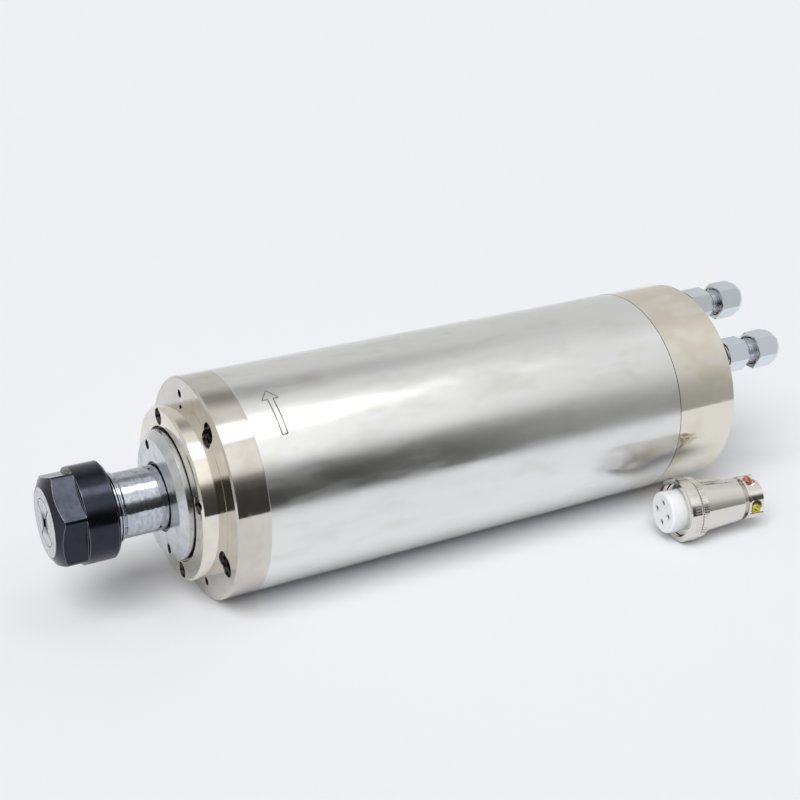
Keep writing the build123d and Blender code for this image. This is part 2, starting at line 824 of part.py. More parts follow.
# Collet and nut
face_cone = (collet_radius - collet_face_radius) / tan(radians(nut_front_angle))
groove_end = collet_face + collet_groove_start + collet_groove_width
with BuildPart() as collet:
    revolve(
        half_section([
            (collet_face, collet_bore_radius),
            (collet_face, collet_face_radius),
            (collet_face + collet_face_land, collet_face_radius),
            (collet_face + collet_face_land + face_cone, collet_radius),
            (collet_face + collet_groove_start, collet_radius),
            (collet_face + collet_groove_start, collet_radius - collet_groove_depth),
            (groove_end, collet_radius - collet_groove_depth),
            (groove_end, collet_radius),
            (taper_start, collet_radius),
            (collet_end, collet_radius - (collet_end - taper_start) * taper_slope),
            (collet_end, collet_relief_radius),
            (collet_face + collet_bore_length, collet_relief_radius),
            (collet_face + collet_bore_length, collet_bore_radius),
        ]),
        axis=Axis.X,
    )
    # slits from the face, each stopped by a bridge at the small end, and the same from the tail
    for slit_start, slit_angle in (
        (collet_face, collet_slit_angle),
        (collet_face + collet_bridge, collet_slit_angle + 180 / collet_slit_count),
    ):
        with BuildSketch(Plane.YZ.offset(slit_start)):
            with PolarLocations(collet_radius / 2, collet_slit_count, start_angle=slit_angle):
                Rectangle(collet_radius + collet_slit_width, collet_slit_width)
        extrude(amount=collet_length - collet_bridge, mode=Mode.SUBTRACT)
save(collet, "collet")

hex_end = collet_face + nut_hex_length
nut_end = collet_face + nut_length
nut_front_chamfer = (nut_radius - nut_front_radius) * tan(radians(nut_front_angle))
with BuildPart() as collet_nut:
    revolve(
        half_section([
            (collet_face, ring_face_radius),
            (collet_face, nut_front_radius),
            (collet_face + nut_front_chamfer, nut_radius),
            (nut_end - nut_rear_chamfer, nut_radius),
            (nut_end, nut_radius - nut_rear_chamfer),
            (nut_end, thread_radius + thread_clearance + nut_mouth_chamfer),
            (nut_end - nut_mouth_chamfer, thread_radius + thread_clearance),
            (collet_face + nut_lip, thread_radius + thread_clearance),
            (collet_face + nut_lip, ring_face_radius),
        ]),
        axis=Axis.X,
    )
    with BuildSketch(Plane.YZ.offset(collet_face)):
        Circle(2 * nut_radius)
        RegularPolygon(
            nut_across_flats / 2, 6, major_radius=False, rotation=nut_hex_angle, mode=Mode.SUBTRACT)
    extrude(amount=nut_hex_length, mode=Mode.SUBTRACT)
save(collet_nut, "collet_nut")

# silver thrust ring in the nut's mouth, with an off-centre lip that pulls the collet out
lip_front = collet_face + collet_groove_start + lip_clearance
lip_rear = groove_end - lip_clearance
cone_start = collet_face + collet_face_land
with BuildPart() as extraction_ring:
    revolve(
        half_section([
            (collet_face, collet_face_radius + ring_cone_gap),
            (collet_face, ring_face_radius),
            (collet_face + nut_lip, ring_face_radius),
            (collet_face + nut_lip, ring_flange_radius),
            (lip_rear, ring_flange_radius),
            (lip_rear, collet_radius + 2 * ring_cone_gap),
            (cone_start + face_cone, collet_radius + 2 * ring_cone_gap),
            (cone_start, collet_face_radius + 2 * ring_cone_gap),
            (cone_start, collet_face_radius + ring_cone_gap),
        ]),
        axis=Axis.X,
    )
    with BuildSketch(Plane.YZ.offset(lip_front)):
        Circle(collet_radius + 3 * ring_cone_gap)
        with Locations((0, lip_offset)):
            Circle(lip_radius, mode=Mode.SUBTRACT)
    extrude(amount=lip_rear - lip_front)
save(extraction_ring, "extraction_ring")

# Power socket in the rear cap
barrel_end = cap_back + socket_flange_thickness + socket_barrel_length
shell_bore = socket_thread_radius - socket_wall
shell_start = cap_back - rear_wall - socket_nut_thickness
with BuildPart() as power_socket_shell:
    revolve(
        half_section([
            (shell_start, shell_bore),
            (shell_start, socket_thread_radius),
            (cap_back, socket_thread_radius),
            (cap_back, socket_flange_radius),
            (cap_back + socket_flange_thickness, socket_flange_radius),
            (cap_back + socket_flange_thickness, socket_barrel_radius),
            (barrel_end, socket_barrel_radius),
            (barrel_end, shell_bore),
        ]),
        axis=Axis.X,
    )
save(power_socket_shell, "power_socket_shell")

insert_face = barrel_end - insert_depth
with BuildPart() as power_socket_insert:
    revolve(tube_section(shell_start, insert_face, 0, shell_bore), axis=Axis.X)
    with BuildSketch(Plane.YZ.offset(shell_start)):
        with PolarLocations(pin_pitch_radius, pin_count):
            Circle(pin_radius)
    extrude(amount=insert_face - shell_start, mode=Mode.SUBTRACT)
save(power_socket_insert, "power_socket_insert")

with BuildPart() as power_socket_pins:
    with BuildSketch(Plane.YZ.offset(shell_start - pin_tail)):
        with PolarLocations(pin_pitch_radius, pin_count):
            Circle(pin_radius)
    extrude(amount=insert_face + pin_reach - shell_start + pin_tail)
    pin_tips = power_socket_pins.faces().filter_by(Axis.X).group_by(Axis.X)[-1]
    fillet(pin_tips.edges(), pin_radius / 2)
save(power_socket_pins, "power_socket_pins")

with BuildPart() as power_socket_nut:
    with BuildSketch(Plane.YZ.offset(shell_start)):
        RegularPolygon(socket_nut_flats / 2, 6, major_radius=False)
        Circle(socket_thread_radius, mode=Mode.SUBTRACT)
    extrude(amount=socket_nut_thickness)
save(power_socket_nut, "power_socket_nut")

# Water fittings
neck_start = cap_back + washer_thickness
fitting_hex_start = neck_start + fitting_neck_length
fitting_hex_end = fitting_hex_start + fitting_hex_length
spigot_end = fitting_hex_end + spigot_reach
nipple_end = spigot_end + nipple_reach
fitting_nut_start = fitting_hex_end + fitting_nut_gap
fitting_nut_end = fitting_nut_start + fitting_nut_length
nut_shoulder = fitting_nut_end - fitting_nut_wall
ferrule_start = nut_shoulder - ferrule_length
corner_radius = fitting_flats / 2 / cos(radians(30))
nut_corner_radius = fitting_nut_flats / 2 / cos(radians(30))


def port_axis(angle):
    centre = (0, fitting_pitch_radius * cos(radians(angle)), fitting_pitch_radius * sin(radians(angle)))
    return Plane(centre, x_dir=(1, 0, 0), z_dir=(0, -1, 0)), Axis(centre, (1, 0, 0)), centre


for port_name, port_angle, hex_turn in (
    ("inlet", inlet_angle, inlet_hex_turn),
    ("outlet", outlet_angle, outlet_hex_turn),
):
    port_plane, port_line, port_centre = port_axis(port_angle)
    across = Plane((0, port_centre[1], port_centre[2]), x_dir=(0, 1, 0), z_dir=(1, 0, 0))
    with BuildPart() as fitting_body:
        revolve(
            half_section([
                (cap_back - fitting_stem_length, water_bore_radius),
                (cap_back - fitting_stem_length, fitting_stem_radius),
                (neck_start, fitting_stem_radius),
                (neck_start, fitting_neck_radius),
                (fitting_hex_start, fitting_neck_radius),
                (fitting_hex_start, corner_radius - fitting_edge),
                (fitting_hex_start + fitting_edge / 2, corner_radius),
                (fitting_hex_end - fitting_edge / 2, corner_radius),
                (fitting_hex_end, corner_radius - fitting_edge),
                (fitting_hex_end, spigot_root_radius),
                (spigot_end, spigot_root_radius),
                (spigot_end, nipple_radius),
                (nipple_end, nipple_radius),
                (nipple_end, water_bore_radius),
            ], port_plane),
            axis=port_line,
        )
        with BuildSketch(across.offset(fitting_hex_start)):
            Circle(2 * corner_radius)
            RegularPolygon(
                fitting_flats / 2, 6, major_radius=False, rotation=hex_turn, mode=Mode.SUBTRACT)
        extrude(amount=fitting_hex_length, mode=Mode.SUBTRACT)
    save(fitting_body, f"water_{port_name}_body")

    with BuildPart() as fitting_nut:
        revolve(
            half_section([
                (fitting_nut_start, spigot_radius + thread_clearance + fitting_mouth_chamfer),
                (fitting_nut_start, nut_corner_radius - fitting_edge),
                (fitting_nut_start + fitting_edge / 2, nut_corner_radius),
                (fitting_nut_end - fitting_nut_cone, nut_corner_radius),
                (fitting_nut_end, fitting_nut_end_radius),
                (fitting_nut_end, hose_radius),
                (nut_shoulder, hose_radius),
                (nut_shoulder, spigot_radius + thread_clearance),
                (fitting_nut_start + fitting_mouth_chamfer, spigot_radius + thread_clearance),
            ], port_plane),
            axis=port_line,
        )
        with BuildSketch(across.offset(fitting_nut_start)):
            Circle(2 * nut_corner_radius)
            RegularPolygon(
                fitting_nut_flats / 2, 6, major_radius=False, rotation=hex_turn, mode=Mode.SUBTRACT)
        extrude(amount=fitting_nut_length, mode=Mode.SUBTRACT)
    save(fitting_nut, f"water_{port_name}_nut")

    with BuildPart() as ferrule:
        revolve(
            half_section([
                (ferrule_start, ferrule_bore_radius),
                (ferrule_start, ferrule_radius - ferrule_taper),
                (nut_shoulder - ferrule_length / 2, ferrule_radius),
                (nut_shoulder, ferrule_radius),
                (nut_shoulder, ferrule_bore_radius),
            ], port_plane),
            axis=port_line,
        )
    save(ferrule, f"water_{port_name}_ferrule")

with BuildPart() as fitting_washers:
    for port_angle in (inlet_angle, outlet_angle):
        with BuildSketch(Plane.YZ.offset(cap_back)):
            with PolarLocations(fitting_pitch_radius, 1, start_angle=port_angle):
                Circle(washer_radius)
                Circle(fitting_stem_radius, mode=Mode.SUBTRACT)
        extrude(amount=washer_thickness)
save(fitting_washers, "fitting_washers")

# Plug
# It lies on its coupling ring, so the axis is one ring radius above the floor.
plug_along = (cos(radians(plug_turn)), sin(radians(plug_turn)), 0)
plug_across = (-sin(radians(plug_turn)), cos(radians(plug_turn)), 0)
plug_origin = (plug_distance, -body_radius - plug_gap, plug_ring_radius - body_radius)
plug_plane = Plane(plug_origin, x_dir=plug_along, z_dir=-Vector(plug_across))
plug_axis = Axis(plug_origin, plug_along)
plug_face = Plane(plug_origin, x_dir=plug_across, z_dir=plug_along)

with BuildPart() as plug_coupling_ring:
    revolve(
        half_section([
            (0, plug_ring_bore),
            (0, plug_ring_radius - plug_ring_edge),
            (plug_ring_edge, plug_ring_radius),
            (plug_ring_length - plug_ring_edge, plug_ring_radius),
            (plug_ring_length, plug_ring_radius - plug_ring_edge),
            (plug_ring_length, plug_sleeve_radius + lip_clearance),
            (plug_ring_length - plug_ring_lip, plug_sleeve_radius + lip_clearance),
            (plug_ring_length - plug_ring_lip, plug_ring_bore),
        ], plug_plane),
        axis=plug_axis,
    )
save(plug_coupling_ring, "plug_coupling_ring")

flange_rear = plug_ring_length - plug_ring_lip - plug_ring_play
with BuildPart() as plug_sleeve:
    revolve(
        half_section([
            (flange_rear - plug_sleeve_step, plug_insert_radius),
            (flange_rear - plug_sleeve_step, plug_sleeve_flange),
            (flange_rear, plug_sleeve_flange),
            (flange_rear, plug_sleeve_radius),
            (plug_sleeve_rear, plug_sleeve_radius),
            (plug_sleeve_rear, plug_insert_radius),
        ], plug_plane),
        axis=plug_axis,
    )
save(plug_sleeve, "plug_sleeve")

with BuildPart() as plug_insert:
    with BuildSketch(plug_face.offset(-plug_insert_reach)):
        Circle(plug_insert_radius)
    extrude(amount=plug_insert_length)
    fillet(plug_insert.edges().sort_by(plug_axis)[0], plug_insert_edge)
    with BuildSketch(plug_face.offset(-plug_insert_reach)):
        with PolarLocations(pin_pitch_radius, pin_count):
            Circle(plug_contact_bore)
    extrude(amount=plug_contact_setback, mode=Mode.SUBTRACT)
    with BuildSketch(plug_face.offset(plug_contact_setback - plug_insert_reach)):
        with PolarLocations(pin_pitch_radius, pin_count):
            Circle(plug_contact_radius)
    extrude(amount=plug_insert_length, mode=Mode.SUBTRACT)
save(plug_insert, "plug_insert")

with BuildPart() as plug_contacts:
    with BuildSketch(plug_face.offset(plug_contact_setback - plug_insert_reach)):
        with PolarLocations(pin_pitch_radius, pin_count):
            Circle(plug_contact_radius)
            Circle(plug_contact_bore, mode=Mode.SUBTRACT)
    extrude(amount=plug_contact_length)
save(plug_contacts, "plug_contacts")

band_start = plug_ring_length + plug_ring_play
band_end = band_start + plug_band_length
barrel_tail = band_end + plug_barrel_length
with BuildPart() as plug_barrel:
    revolve(
        half_section([
            (band_start, plug_sleeve_radius),
            (band_start, plug_band_radius - plug_ring_edge),
            (band_start + plug_ring_edge, plug_band_radius),
            (band_end, plug_band_radius),
            (band_end, plug_barrel_radius),
            (barrel_tail, plug_barrel_end_radius),
            (barrel_tail, plug_neck_radius),
            (barrel_tail - plug_neck_overlap, plug_neck_radius),
            (plug_sleeve_rear, plug_sleeve_radius - plug_barrel_wall),
            (plug_sleeve_rear, plug_sleeve_radius),
        ], plug_plane),
        axis=plug_axis,
    )
save(plug_barrel, "plug_barrel")

# cable clamp: one half carries the neck, the other is a loose saddle held by two screws
clamp_start = barrel_tail + plug_neck_gap
clamp_middle = clamp_start + clamp_length / 2
clamp_arch_radius = cable_radius + clamp_wall
clamp_up = Vector(0, 0, 1)
clamp_across = Vector(plug_across) * cos(radians(clamp_turn)) + clamp_up * sin(radians(clamp_turn))
clamp_frame = Plane(plug_origin, x_dir=clamp_across, z_dir=plug_along)


def clamp_half(side):
    # outline across the plug, arched over the cable on one side of the split
    with BuildSketch(clamp_frame.offset(clamp_start)) as outline:
        Circle(clamp_arch_radius)
        with Locations((-side * clamp_arch_radius, 0)):
            Rectangle(2 * clamp_arch_radius + clamp_split, 2 * clamp_arch_radius, mode=Mode.SUBTRACT)
        with Locations((side * (clamp_split + clamp_ear) / 2, 0)):
            RectangleRounded(clamp_ear, clamp_width, clamp_corner)
        Circle(cable_radius, mode=Mode.SUBTRACT)
    return outline.sketch


screw_plane = Plane(
    clamp_frame.offset(clamp_middle).origin, x_dir=clamp_frame.y_dir, z_dir=clamp_frame.x_dir)
screw_seat = clamp_split / 2 + clamp_ear
with BuildPart() as plug_cable_clamp:
    extrude(clamp_half(1), amount=clamp_length)
    revolve(
        half_section([
            (barrel_tail - plug_neck_overlap, cable_radius),
            (barrel_tail - plug_neck_overlap, plug_neck_radius),
            (clamp_start - clamp_plate_thickness, plug_neck_radius),
            (clamp_start - clamp_plate_thickness, clamp_plate_radius),
            (clamp_start, clamp_plate_radius),
            (clamp_start, cable_radius),
        ], plug_plane),
        axis=plug_axis,
    )
    with BuildSketch(screw_plane):
        with GridLocations(clamp_screw_spacing, 1, 2, 1):
            Circle(clamp_screw_radius)
    extrude(amount=screw_seat, mode=Mode.SUBTRACT)
save(plug_cable_clamp, "plug_cable_clamp")

with BuildPart() as plug_clamp_saddle:
    extrude(clamp_half(-1), amount=clamp_length)
    with BuildSketch(screw_plane):
        with GridLocations(clamp_screw_spacing, 1, 2, 1):
            Circle(clamp_screw_radius)
    extrude(amount=-screw_seat, mode=Mode.SUBTRACT)
    with BuildSketch(screw_plane.offset(-screw_seat)):
        with GridLocations(clamp_screw_spacing, 1, 2, 1):
            Circle(clamp_head_radius + head_clearance)
    extrude(amount=-clamp_arch_radius, mode=Mode.SUBTRACT)
save(plug_clamp_saddle, "plug_clamp_saddle")

with BuildPart() as plug_clamp_screws:
    with BuildSketch(screw_plane.offset(-screw_seat)):
        with GridLocations(clamp_screw_spacing, 1, 2, 1):
            Circle(clamp_head_radius)
    extrude(amount=-clamp_head_height)
    with BuildSketch(screw_plane.offset(-screw_seat)):
        with GridLocations(clamp_screw_spacing, 1, 2, 1):
            Circle(clamp_screw_radius)
    extrude(amount=2 * screw_seat - clamp_split)
    with BuildSketch(screw_plane.offset(-screw_seat - clamp_head_height)):
        with GridLocations(clamp_screw_spacing, 1, 2, 1):
            Rectangle(clamp_head_slot, 2 * clamp_head_radius)
    extrude(amount=clamp_head_height / 2, mode=Mode.SUBTRACT)
save(plug_clamp_screws, "plug_clamp_screws")
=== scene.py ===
from math import cos, radians, sin, tau

import bpy
from mathutils import Matrix, Vector


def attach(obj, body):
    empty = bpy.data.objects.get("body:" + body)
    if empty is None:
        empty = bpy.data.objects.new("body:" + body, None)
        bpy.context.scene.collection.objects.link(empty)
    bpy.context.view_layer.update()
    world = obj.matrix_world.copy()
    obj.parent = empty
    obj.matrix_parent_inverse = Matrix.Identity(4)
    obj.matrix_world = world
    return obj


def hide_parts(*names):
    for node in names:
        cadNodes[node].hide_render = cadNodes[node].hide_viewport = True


# Water-cooled motor spindle with a collet nose, and its power plug lying beside it.
# Metres throughout. The spindle axis is X, the nose points to -X, +Z is up.

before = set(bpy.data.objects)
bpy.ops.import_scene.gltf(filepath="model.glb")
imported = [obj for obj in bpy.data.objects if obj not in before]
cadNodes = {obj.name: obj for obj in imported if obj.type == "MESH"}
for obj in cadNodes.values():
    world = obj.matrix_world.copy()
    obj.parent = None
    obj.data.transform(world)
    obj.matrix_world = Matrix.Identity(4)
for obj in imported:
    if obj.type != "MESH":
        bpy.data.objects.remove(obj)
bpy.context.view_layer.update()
scene = bpy.context.scene
mm = 0.001
print("frame loaded:", len(cadNodes), "nodes")


# Shared small tools

octaveShare = 0.6      # how much of each finer layer of a noise shows
edgeSamples = 4        # directions tried to round an edge
rubSamples = 6         # and to find where it has been rubbed


def linearColour(hexColour):
    # sRGB hex to the linear numbers that a shader takes
    shares = [int(hexColour[at:at + 2], 16) / 255 for at in (1, 3, 5)]
    bent = [s / 12.92 if s <= 0.04045 else ((s + 0.055) / 1.055) ** 2.4 for s in shares]
    return (*bent, 1.0)


def addNode(tree, kind, settings=None, feeds=None):
    # a feed that is a socket gets linked, anything else is set on the input
    node = tree.nodes.new("ShaderNode" + kind)
    for key, value in (settings or {}).items():
        setattr(node, key, value)
    for key, value in (feeds or {}).items():
        if isinstance(value, bpy.types.NodeSocket):
            tree.links.new(value, node.inputs[key])
        else:
            node.inputs[key].default_value = value
    return node


def startMaterial(name, look):
    # the shader with its plain values, which the patterns below are added to
    material = bpy.data.materials.new(name)
    material.use_nodes = True
    tree = material.node_tree
    tree.nodes.clear()
    shader = addNode(tree, "BsdfPrincipled", feeds={
        "Base Color": linearColour(look["colour"]),
        "Metallic": look.get("metallic", 0.0),
        "Roughness": look["roughness"],
    })
    addNode(tree, "OutputMaterial", feeds={"Surface": shader.outputs["BSDF"]})
    return material, tree, shader


def patchNoise(tree, sizes, detail=3.0):
    # noise whose patches measure sizes = (x, y, z) in mm
    place = addNode(tree, "TexCoord").outputs["Object"]
    scaled = addNode(tree, "Mapping", feeds={
        "Vector": place, "Scale": [1 / (size * mm) for size in sizes]})
    noise = addNode(tree, "TexNoise", feeds={
        "Vector": scaled.outputs["Vector"], "Scale": 1.0, "Detail": detail,
        "Roughness": octaveShare})
    return noise.outputs["Fac"]


def spread(tree, value, low, high, start=0.3, end=0.7):
    # a pattern value stretched to the range low to high; noise rarely leaves 0.3 to 0.7
    return addNode(tree, "MapRange", feeds={
        "Value": value, "From Min": start, "From Max": end,
        "To Min": low, "To Max": high}).outputs["Result"]


def relief(tree, shader, height, depth, edge=0.0):
    # a height of 0 to 1 becomes a relief of depth mm, and edges turn over a radius of edge mm
    bump = addNode(tree, "Bump", feeds={
        "Strength": 1.0, "Distance": depth * mm, "Height": height})
    if edge:
        rounded = addNode(tree, "Bevel", {"samples": edgeSamples}, {"Radius": edge * mm})
        tree.links.new(rounded.outputs["Normal"], bump.inputs["Normal"])
    tree.links.new(bump.outputs["Normal"], shader.inputs["Normal"])


def stain(tree, shader, look):
    # a second colour in soft patches, and a lighter colour along every edge: partly bare metal
    # scuffed through, partly a painted highlight
    blots = patchNoise(tree, look["stainSize"], detail=2.0)
    patches = spread(tree, blots, 0.0, 1.0, *look["stainRange"])
    tint = addNode(tree, "Mix", {"data_type": "RGBA"}, {
        0: patches, 6: linearColour(look["colour"]), 7: linearColour(look["stain"])}).outputs[2]
    if "edgeWearAndSheen" in look:
        # wear and painted highlight: a lighter colour wherever the rounded normal turns away from
        # the face, on every edge alike
        rounded = addNode(tree, "Bevel", {"samples": rubSamples}, {
            "Radius": look["edgeWearAndSheenWidth"] * mm})
        flat = addNode(tree, "NewGeometry")
        turn = addNode(tree, "VectorMath", {"operation": "DOT_PRODUCT"}, {
            0: rounded.outputs["Normal"], 1: flat.outputs["Normal"]})
        wearAndSheen = spread(tree, turn.outputs["Value"], look["edgeWearAndSheenShare"], 0.0, *look["edgeWearAndSheenTurn"])
        tint = addNode(tree, "Mix", {"data_type": "RGBA"}, {
            0: wearAndSheen, 6: tint, 7: linearColour(look["edgeWearAndSheen"])}).outputs[2]
    tree.links.new(tint, shader.inputs["Base Color"])


def dress(material, slot, *names):
    # whole nodes of the frame get one material
    for name in names:
        cadNodes[name].data.materials.clear()
        cadNodes[name].data.materials.append(material)


def ringPoint(station, radius, angle):
    # a point at a station along X and round it, from mm
    return Vector((station * mm, radius * cos(angle) * mm, radius * sin(angle) * mm))


def tubeFaces(rows, around, closed=False, flip=False):
    # quads from row to row, where each row of points is a loop; an open tube gets two caps
    faces = []
    for row in range(rows if closed else rows - 1):
        near, far = row * around, (row + 1) % rows * around
        for step in range(around):
            after = (step + 1) % around
            faces.append((near + step, far + step, far + after, near + after))
    if not closed:
        last = (rows - 1) * around
        faces += [tuple(range(around)), tuple(reversed(range(last, last + around)))]
    return [tuple(reversed(face)) for face in faces] if flip else faces


def solidFrom(name, points, faces, material, body):
    # a finished mesh piece that rides on its body
    mesh = bpy.data.meshes.new(name)
    mesh.from_pydata(points, [], faces)
    mesh.validate()
    mesh.materials.append(material)
    piece = bpy.data.objects.new(name, mesh)
    scene.collection.objects.link(piece)
    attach(piece, body)
    return piece


# Metals

def groundMetal(name, look):
    # grinding lines run in the long side of look["grain"], with soft smudges over them
    material, tree, shader = startMaterial(name, {**look, "metallic": 1.0})
    grain = patchNoise(tree, look["grain"])
    smudge = patchNoise(tree, look["smudge"], detail=2.0)
    low, high = look["roughness"] - look["spread"], look["roughness"] + look["spread"]
    mixed = addNode(tree, "Math", {"operation": "MULTIPLY_ADD"}, {
        0: grain, 1: 1 - look["smudgeShare"],
        2: spread(tree, smudge, 0.0, look["smudgeShare"])})
    tree.links.new(spread(tree, mixed.outputs[0], low, high), shader.inputs["Roughness"])
    waves = patchNoise(tree, look["waveSize"], detail=1.0)
    height = addNode(tree, "Math", {"operation": "MULTIPLY_ADD"}, {
        0: waves, 1: look["waveDepth"] / look["depth"], 2: grain})
    relief(tree, shader, height.outputs[0], look["depth"], look.get("edge", 0.0))
    if "stain" in look:
        stain(tree, shader, look)
    return material


def turnedMetal(name, look):
    # rings left by a lathe about the spindle axis, on faces and round sides alike,
    # with painted shade darkening the face towards the bore, where the look asks for it
    material, tree, shader = startMaterial(name, {**look, "metallic": 1.0})
    place = addNode(tree, "TexCoord").outputs["Object"]
    across = addNode(tree, "Mapping", feeds={"Vector": place, "Scale": (0.0, 1.0, 1.0)})
    radius = addNode(tree, "VectorMath", {"operation": "LENGTH"}, {0: across.outputs["Vector"]})
    along = addNode(tree, "SeparateXYZ", feeds={0: place})
    travel = addNode(tree, "Math", {"operation": "ADD"}, {
        0: radius.outputs["Value"], 1: along.outputs["X"]})
    turns = addNode(tree, "Math", {"operation": "MULTIPLY"}, {
        0: travel.outputs[0], 1: tau / (look["pitch"] * mm)})
    rings = addNode(tree, "Math", {"operation": "SINE"}, {0: turns.outputs[0]})
    mottle = patchNoise(tree, look["mottle"])
    height = addNode(tree, "Math", {"operation": "MULTIPLY_ADD"}, {
        0: rings.outputs[0], 1: look["ringShare"], 2: mottle})
    tree.links.new(spread(tree, mottle, look["roughness"] - look["spread"],
                          look["roughness"] + look["spread"]), shader.inputs["Roughness"])
    relief(tree, shader, height.outputs[0], look["depth"], look.get("edge", 0.0))
    if "stain" in look:
        stain(tree, shader, look)
    if "boreShade" in look:
        # painted shade: the face darkens towards the bore in uneven patches, standing in for the
        # shade in the bore and slits
        near = spread(tree, radius.outputs["Value"], 1.0, 0.0,
                      *(limit * mm for limit in look["boreShadeRadius"]))
        ragged = addNode(tree, "Math", {"operation": "MULTIPLY", "use_clamp": True}, {
            0: near, 1: spread(tree, mottle, *look["boreShadePatches"])})
        tint = addNode(tree, "Mix", {"data_type": "RGBA"}, {
            0: ragged.outputs[0], 6: shader.inputs["Base Color"].links[0].from_socket,
            7: linearColour(look["boreShade"])})
        tree.links.new(tint.outputs[2], shader.inputs["Base Color"])
    return material


# Hardened steel tube, ground round and lightly brushed lengthwise: sharp reflections
# with a slight drag along the tube. Real grinding lines are 0.02 mm, drawn at 0.7 mm to show.
groundSteelLook = {"colour": "#e8e8e6", "roughness": 0.22, "spread": 0.05,
                   "grain": (14.0, 0.7, 0.7), "depth": 0.0015,
                   "smudge": (30.0, 7.0, 7.0), "smudgeShare": 0.6,
                   "waveSize": (26.0, 4.5, 4.5), "waveDepth": 0.012,
                   "stain": "#dddcd8", "stainSize": (20.0, 9.0, 9.0), "stainRange": (0.5, 0.75)}
groundSteel = groundMetal("groundSteel", groundSteelLook)
dress(groundSteel, "ground_steel", "outer_sleeve")

# Nickel on a polished steel ring: a clear, slightly warm mirror with faint handling haze.
polishedNickelLook = {"colour": "#e9e4da", "roughness": 0.08, "spread": 0.04,
                      "grain": (1.2, 3.0, 3.0), "depth": 0.0008,
                      "smudge": (6.0, 7.0, 7.0), "smudgeShare": 0.6,
                      "waveSize": (5.0, 5.0, 5.0), "waveDepth": 0.006, "edge": 0.3,
                      "stain": "#ddd7ca", "stainSize": (9.0, 9.0, 9.0), "stainRange": (0.4, 0.7)}
polishedNickel = groundMetal("polishedNickel", polishedNickelLook)
dress(polishedNickel, "polished_nickel", "bearing_cap")

# The same nickel on the front ring, in a darker colour all over, with darker patches at random.
darkerNickel = groundMetal("darkerNickel", {
    **polishedNickelLook, "colour": "#d6d2cb", "stain": "#cbc6bd"})
dress(darkerNickel, "polished_nickel", "front_flange")

# Turned steel, satin: the disc face scatters light in soft mottled patches.
satinSteelLook = {"colour": "#d6d8d9", "roughness": 0.24, "spread": 0.05,
                  "mottle": (4.5, 4.5, 4.5), "pitch": 0.9, "ringShare": 0.02,
                  "depth": 0.02, "edge": 0.3,
                  "stain": "#bcbfc1", "stainSize": (4.5, 4.5, 4.5), "stainRange": (0.35, 0.75)}
satinSteel = turnedMetal("satinSteel", satinSteelLook)
dress(satinSteel, "satin_steel", "labyrinth_disc")

# Ground and bright steel shaft: a near mirror that ripples a little round its nose.
groundShaftLook = {"colour": "#c8ccd4", "roughness": 0.08, "spread": 0.05,
                   "mottle": (2.2, 1.6, 1.6), "pitch": 0.8, "ringShare": 0.03, "depth": 0.05,
                   "stain": "#9da1a9", "stainSize": (1.2, 2.4, 2.4), "stainRange": (0.35, 0.75)}
groundShaft = turnedMetal("groundShaft", groundShaftLook)
dress(groundShaft, "ground_shaft", "spindle_shaft")

# Nickel on turned brass: the rear cap is a warm satin mirror.
champagneNickelLook = {"colour": "#e7e3d7", "roughness": 0.1, "spread": 0.04,
                       "grain": (2.4, 2.4, 2.4), "depth": 0.0008,
                       "smudge": (8.0, 8.0, 8.0), "smudgeShare": 0.6,
                       "waveSize": (9.0, 9.0, 9.0), "waveDepth": 0.012, "edge": 0.4,
                       "stain": "#dfd9c9", "stainSize": (26.0, 16.0, 16.0),
                       "stainRange": (0.46, 0.56)}
champagneNickel = groundMetal("champagneNickel", champagneNickelLook)
dress(champagneNickel, "champagne_nickel", "rear_end_cap")

# Bright nickel plate on the brass plug and socket: a clear mirror with small waves.
nickelPlateLook = {"colour": "#e2dfd9", "roughness": 0.08, "spread": 0.04,
                   "grain": (1.5, 1.5, 1.5), "depth": 0.001,
                   "smudge": (4.0, 4.0, 4.0), "smudgeShare": 0.5,
                   "waveSize": (3.0, 3.0, 3.0), "waveDepth": 0.006, "edge": 0.15}
nickelPlate = groundMetal("nickelPlate", nickelPlateLook)
dress(nickelPlate, "nickel_plate", "power_socket_shell", "power_socket_nut", "plug_sleeve",
      "plug_barrel", "plug_cable_clamp", "plug_clamp_saddle", "plug_coupling_ring")

# The water fittings have a bluer, harder plate: bright chromium over nickel;
# their threads get a darker copy of the same plate.
chromePlateLook = {**nickelPlateLook, "colour": "#dfe5ec", "roughness": 0.07}
chromePlate = groundMetal("brightChromium", chromePlateLook)
threadPlate = groundMetal("threadChromium", {**chromePlateLook, "colour": "#b6bbc2"})
dress(chromePlate, "nickel_plate", "water_inlet_body", "water_outlet_body",
      "water_inlet_nut", "water_outlet_nut")

# Black oxide over milled steel: a dark blue-grey sheen with soft edges to each reflection, and
# lighter edges that are partly scuffed bare metal and partly painted highlight.
blackOxideLook = {"colour": "#383a42", "roughness": 0.2, "spread": 0.06,
                  "grain": (0.8, 0.8, 0.8), "depth": 0.0015,
                  "smudge": (4.0, 4.0, 4.0), "smudgeShare": 0.5,
                  "waveSize": (3.0, 3.0, 3.0), "waveDepth": 0.004, "edge": 0.25,
                  "stain": "#34363e", "stainSize": (3.5, 3.5, 3.5), "stainRange": (0.4, 0.7),
                  "edgeWearAndSheen": "#9a9ea8", "edgeWearAndSheenWidth": 0.45, "edgeWearAndSheenShare": 0.8,
                  "edgeWearAndSheenTurn": (0.88, 0.99)}
blackOxide = groundMetal("blackOxide", blackOxideLook)
dress(blackOxide, "black_oxide", "collet_nut", "rear_lock_nut")

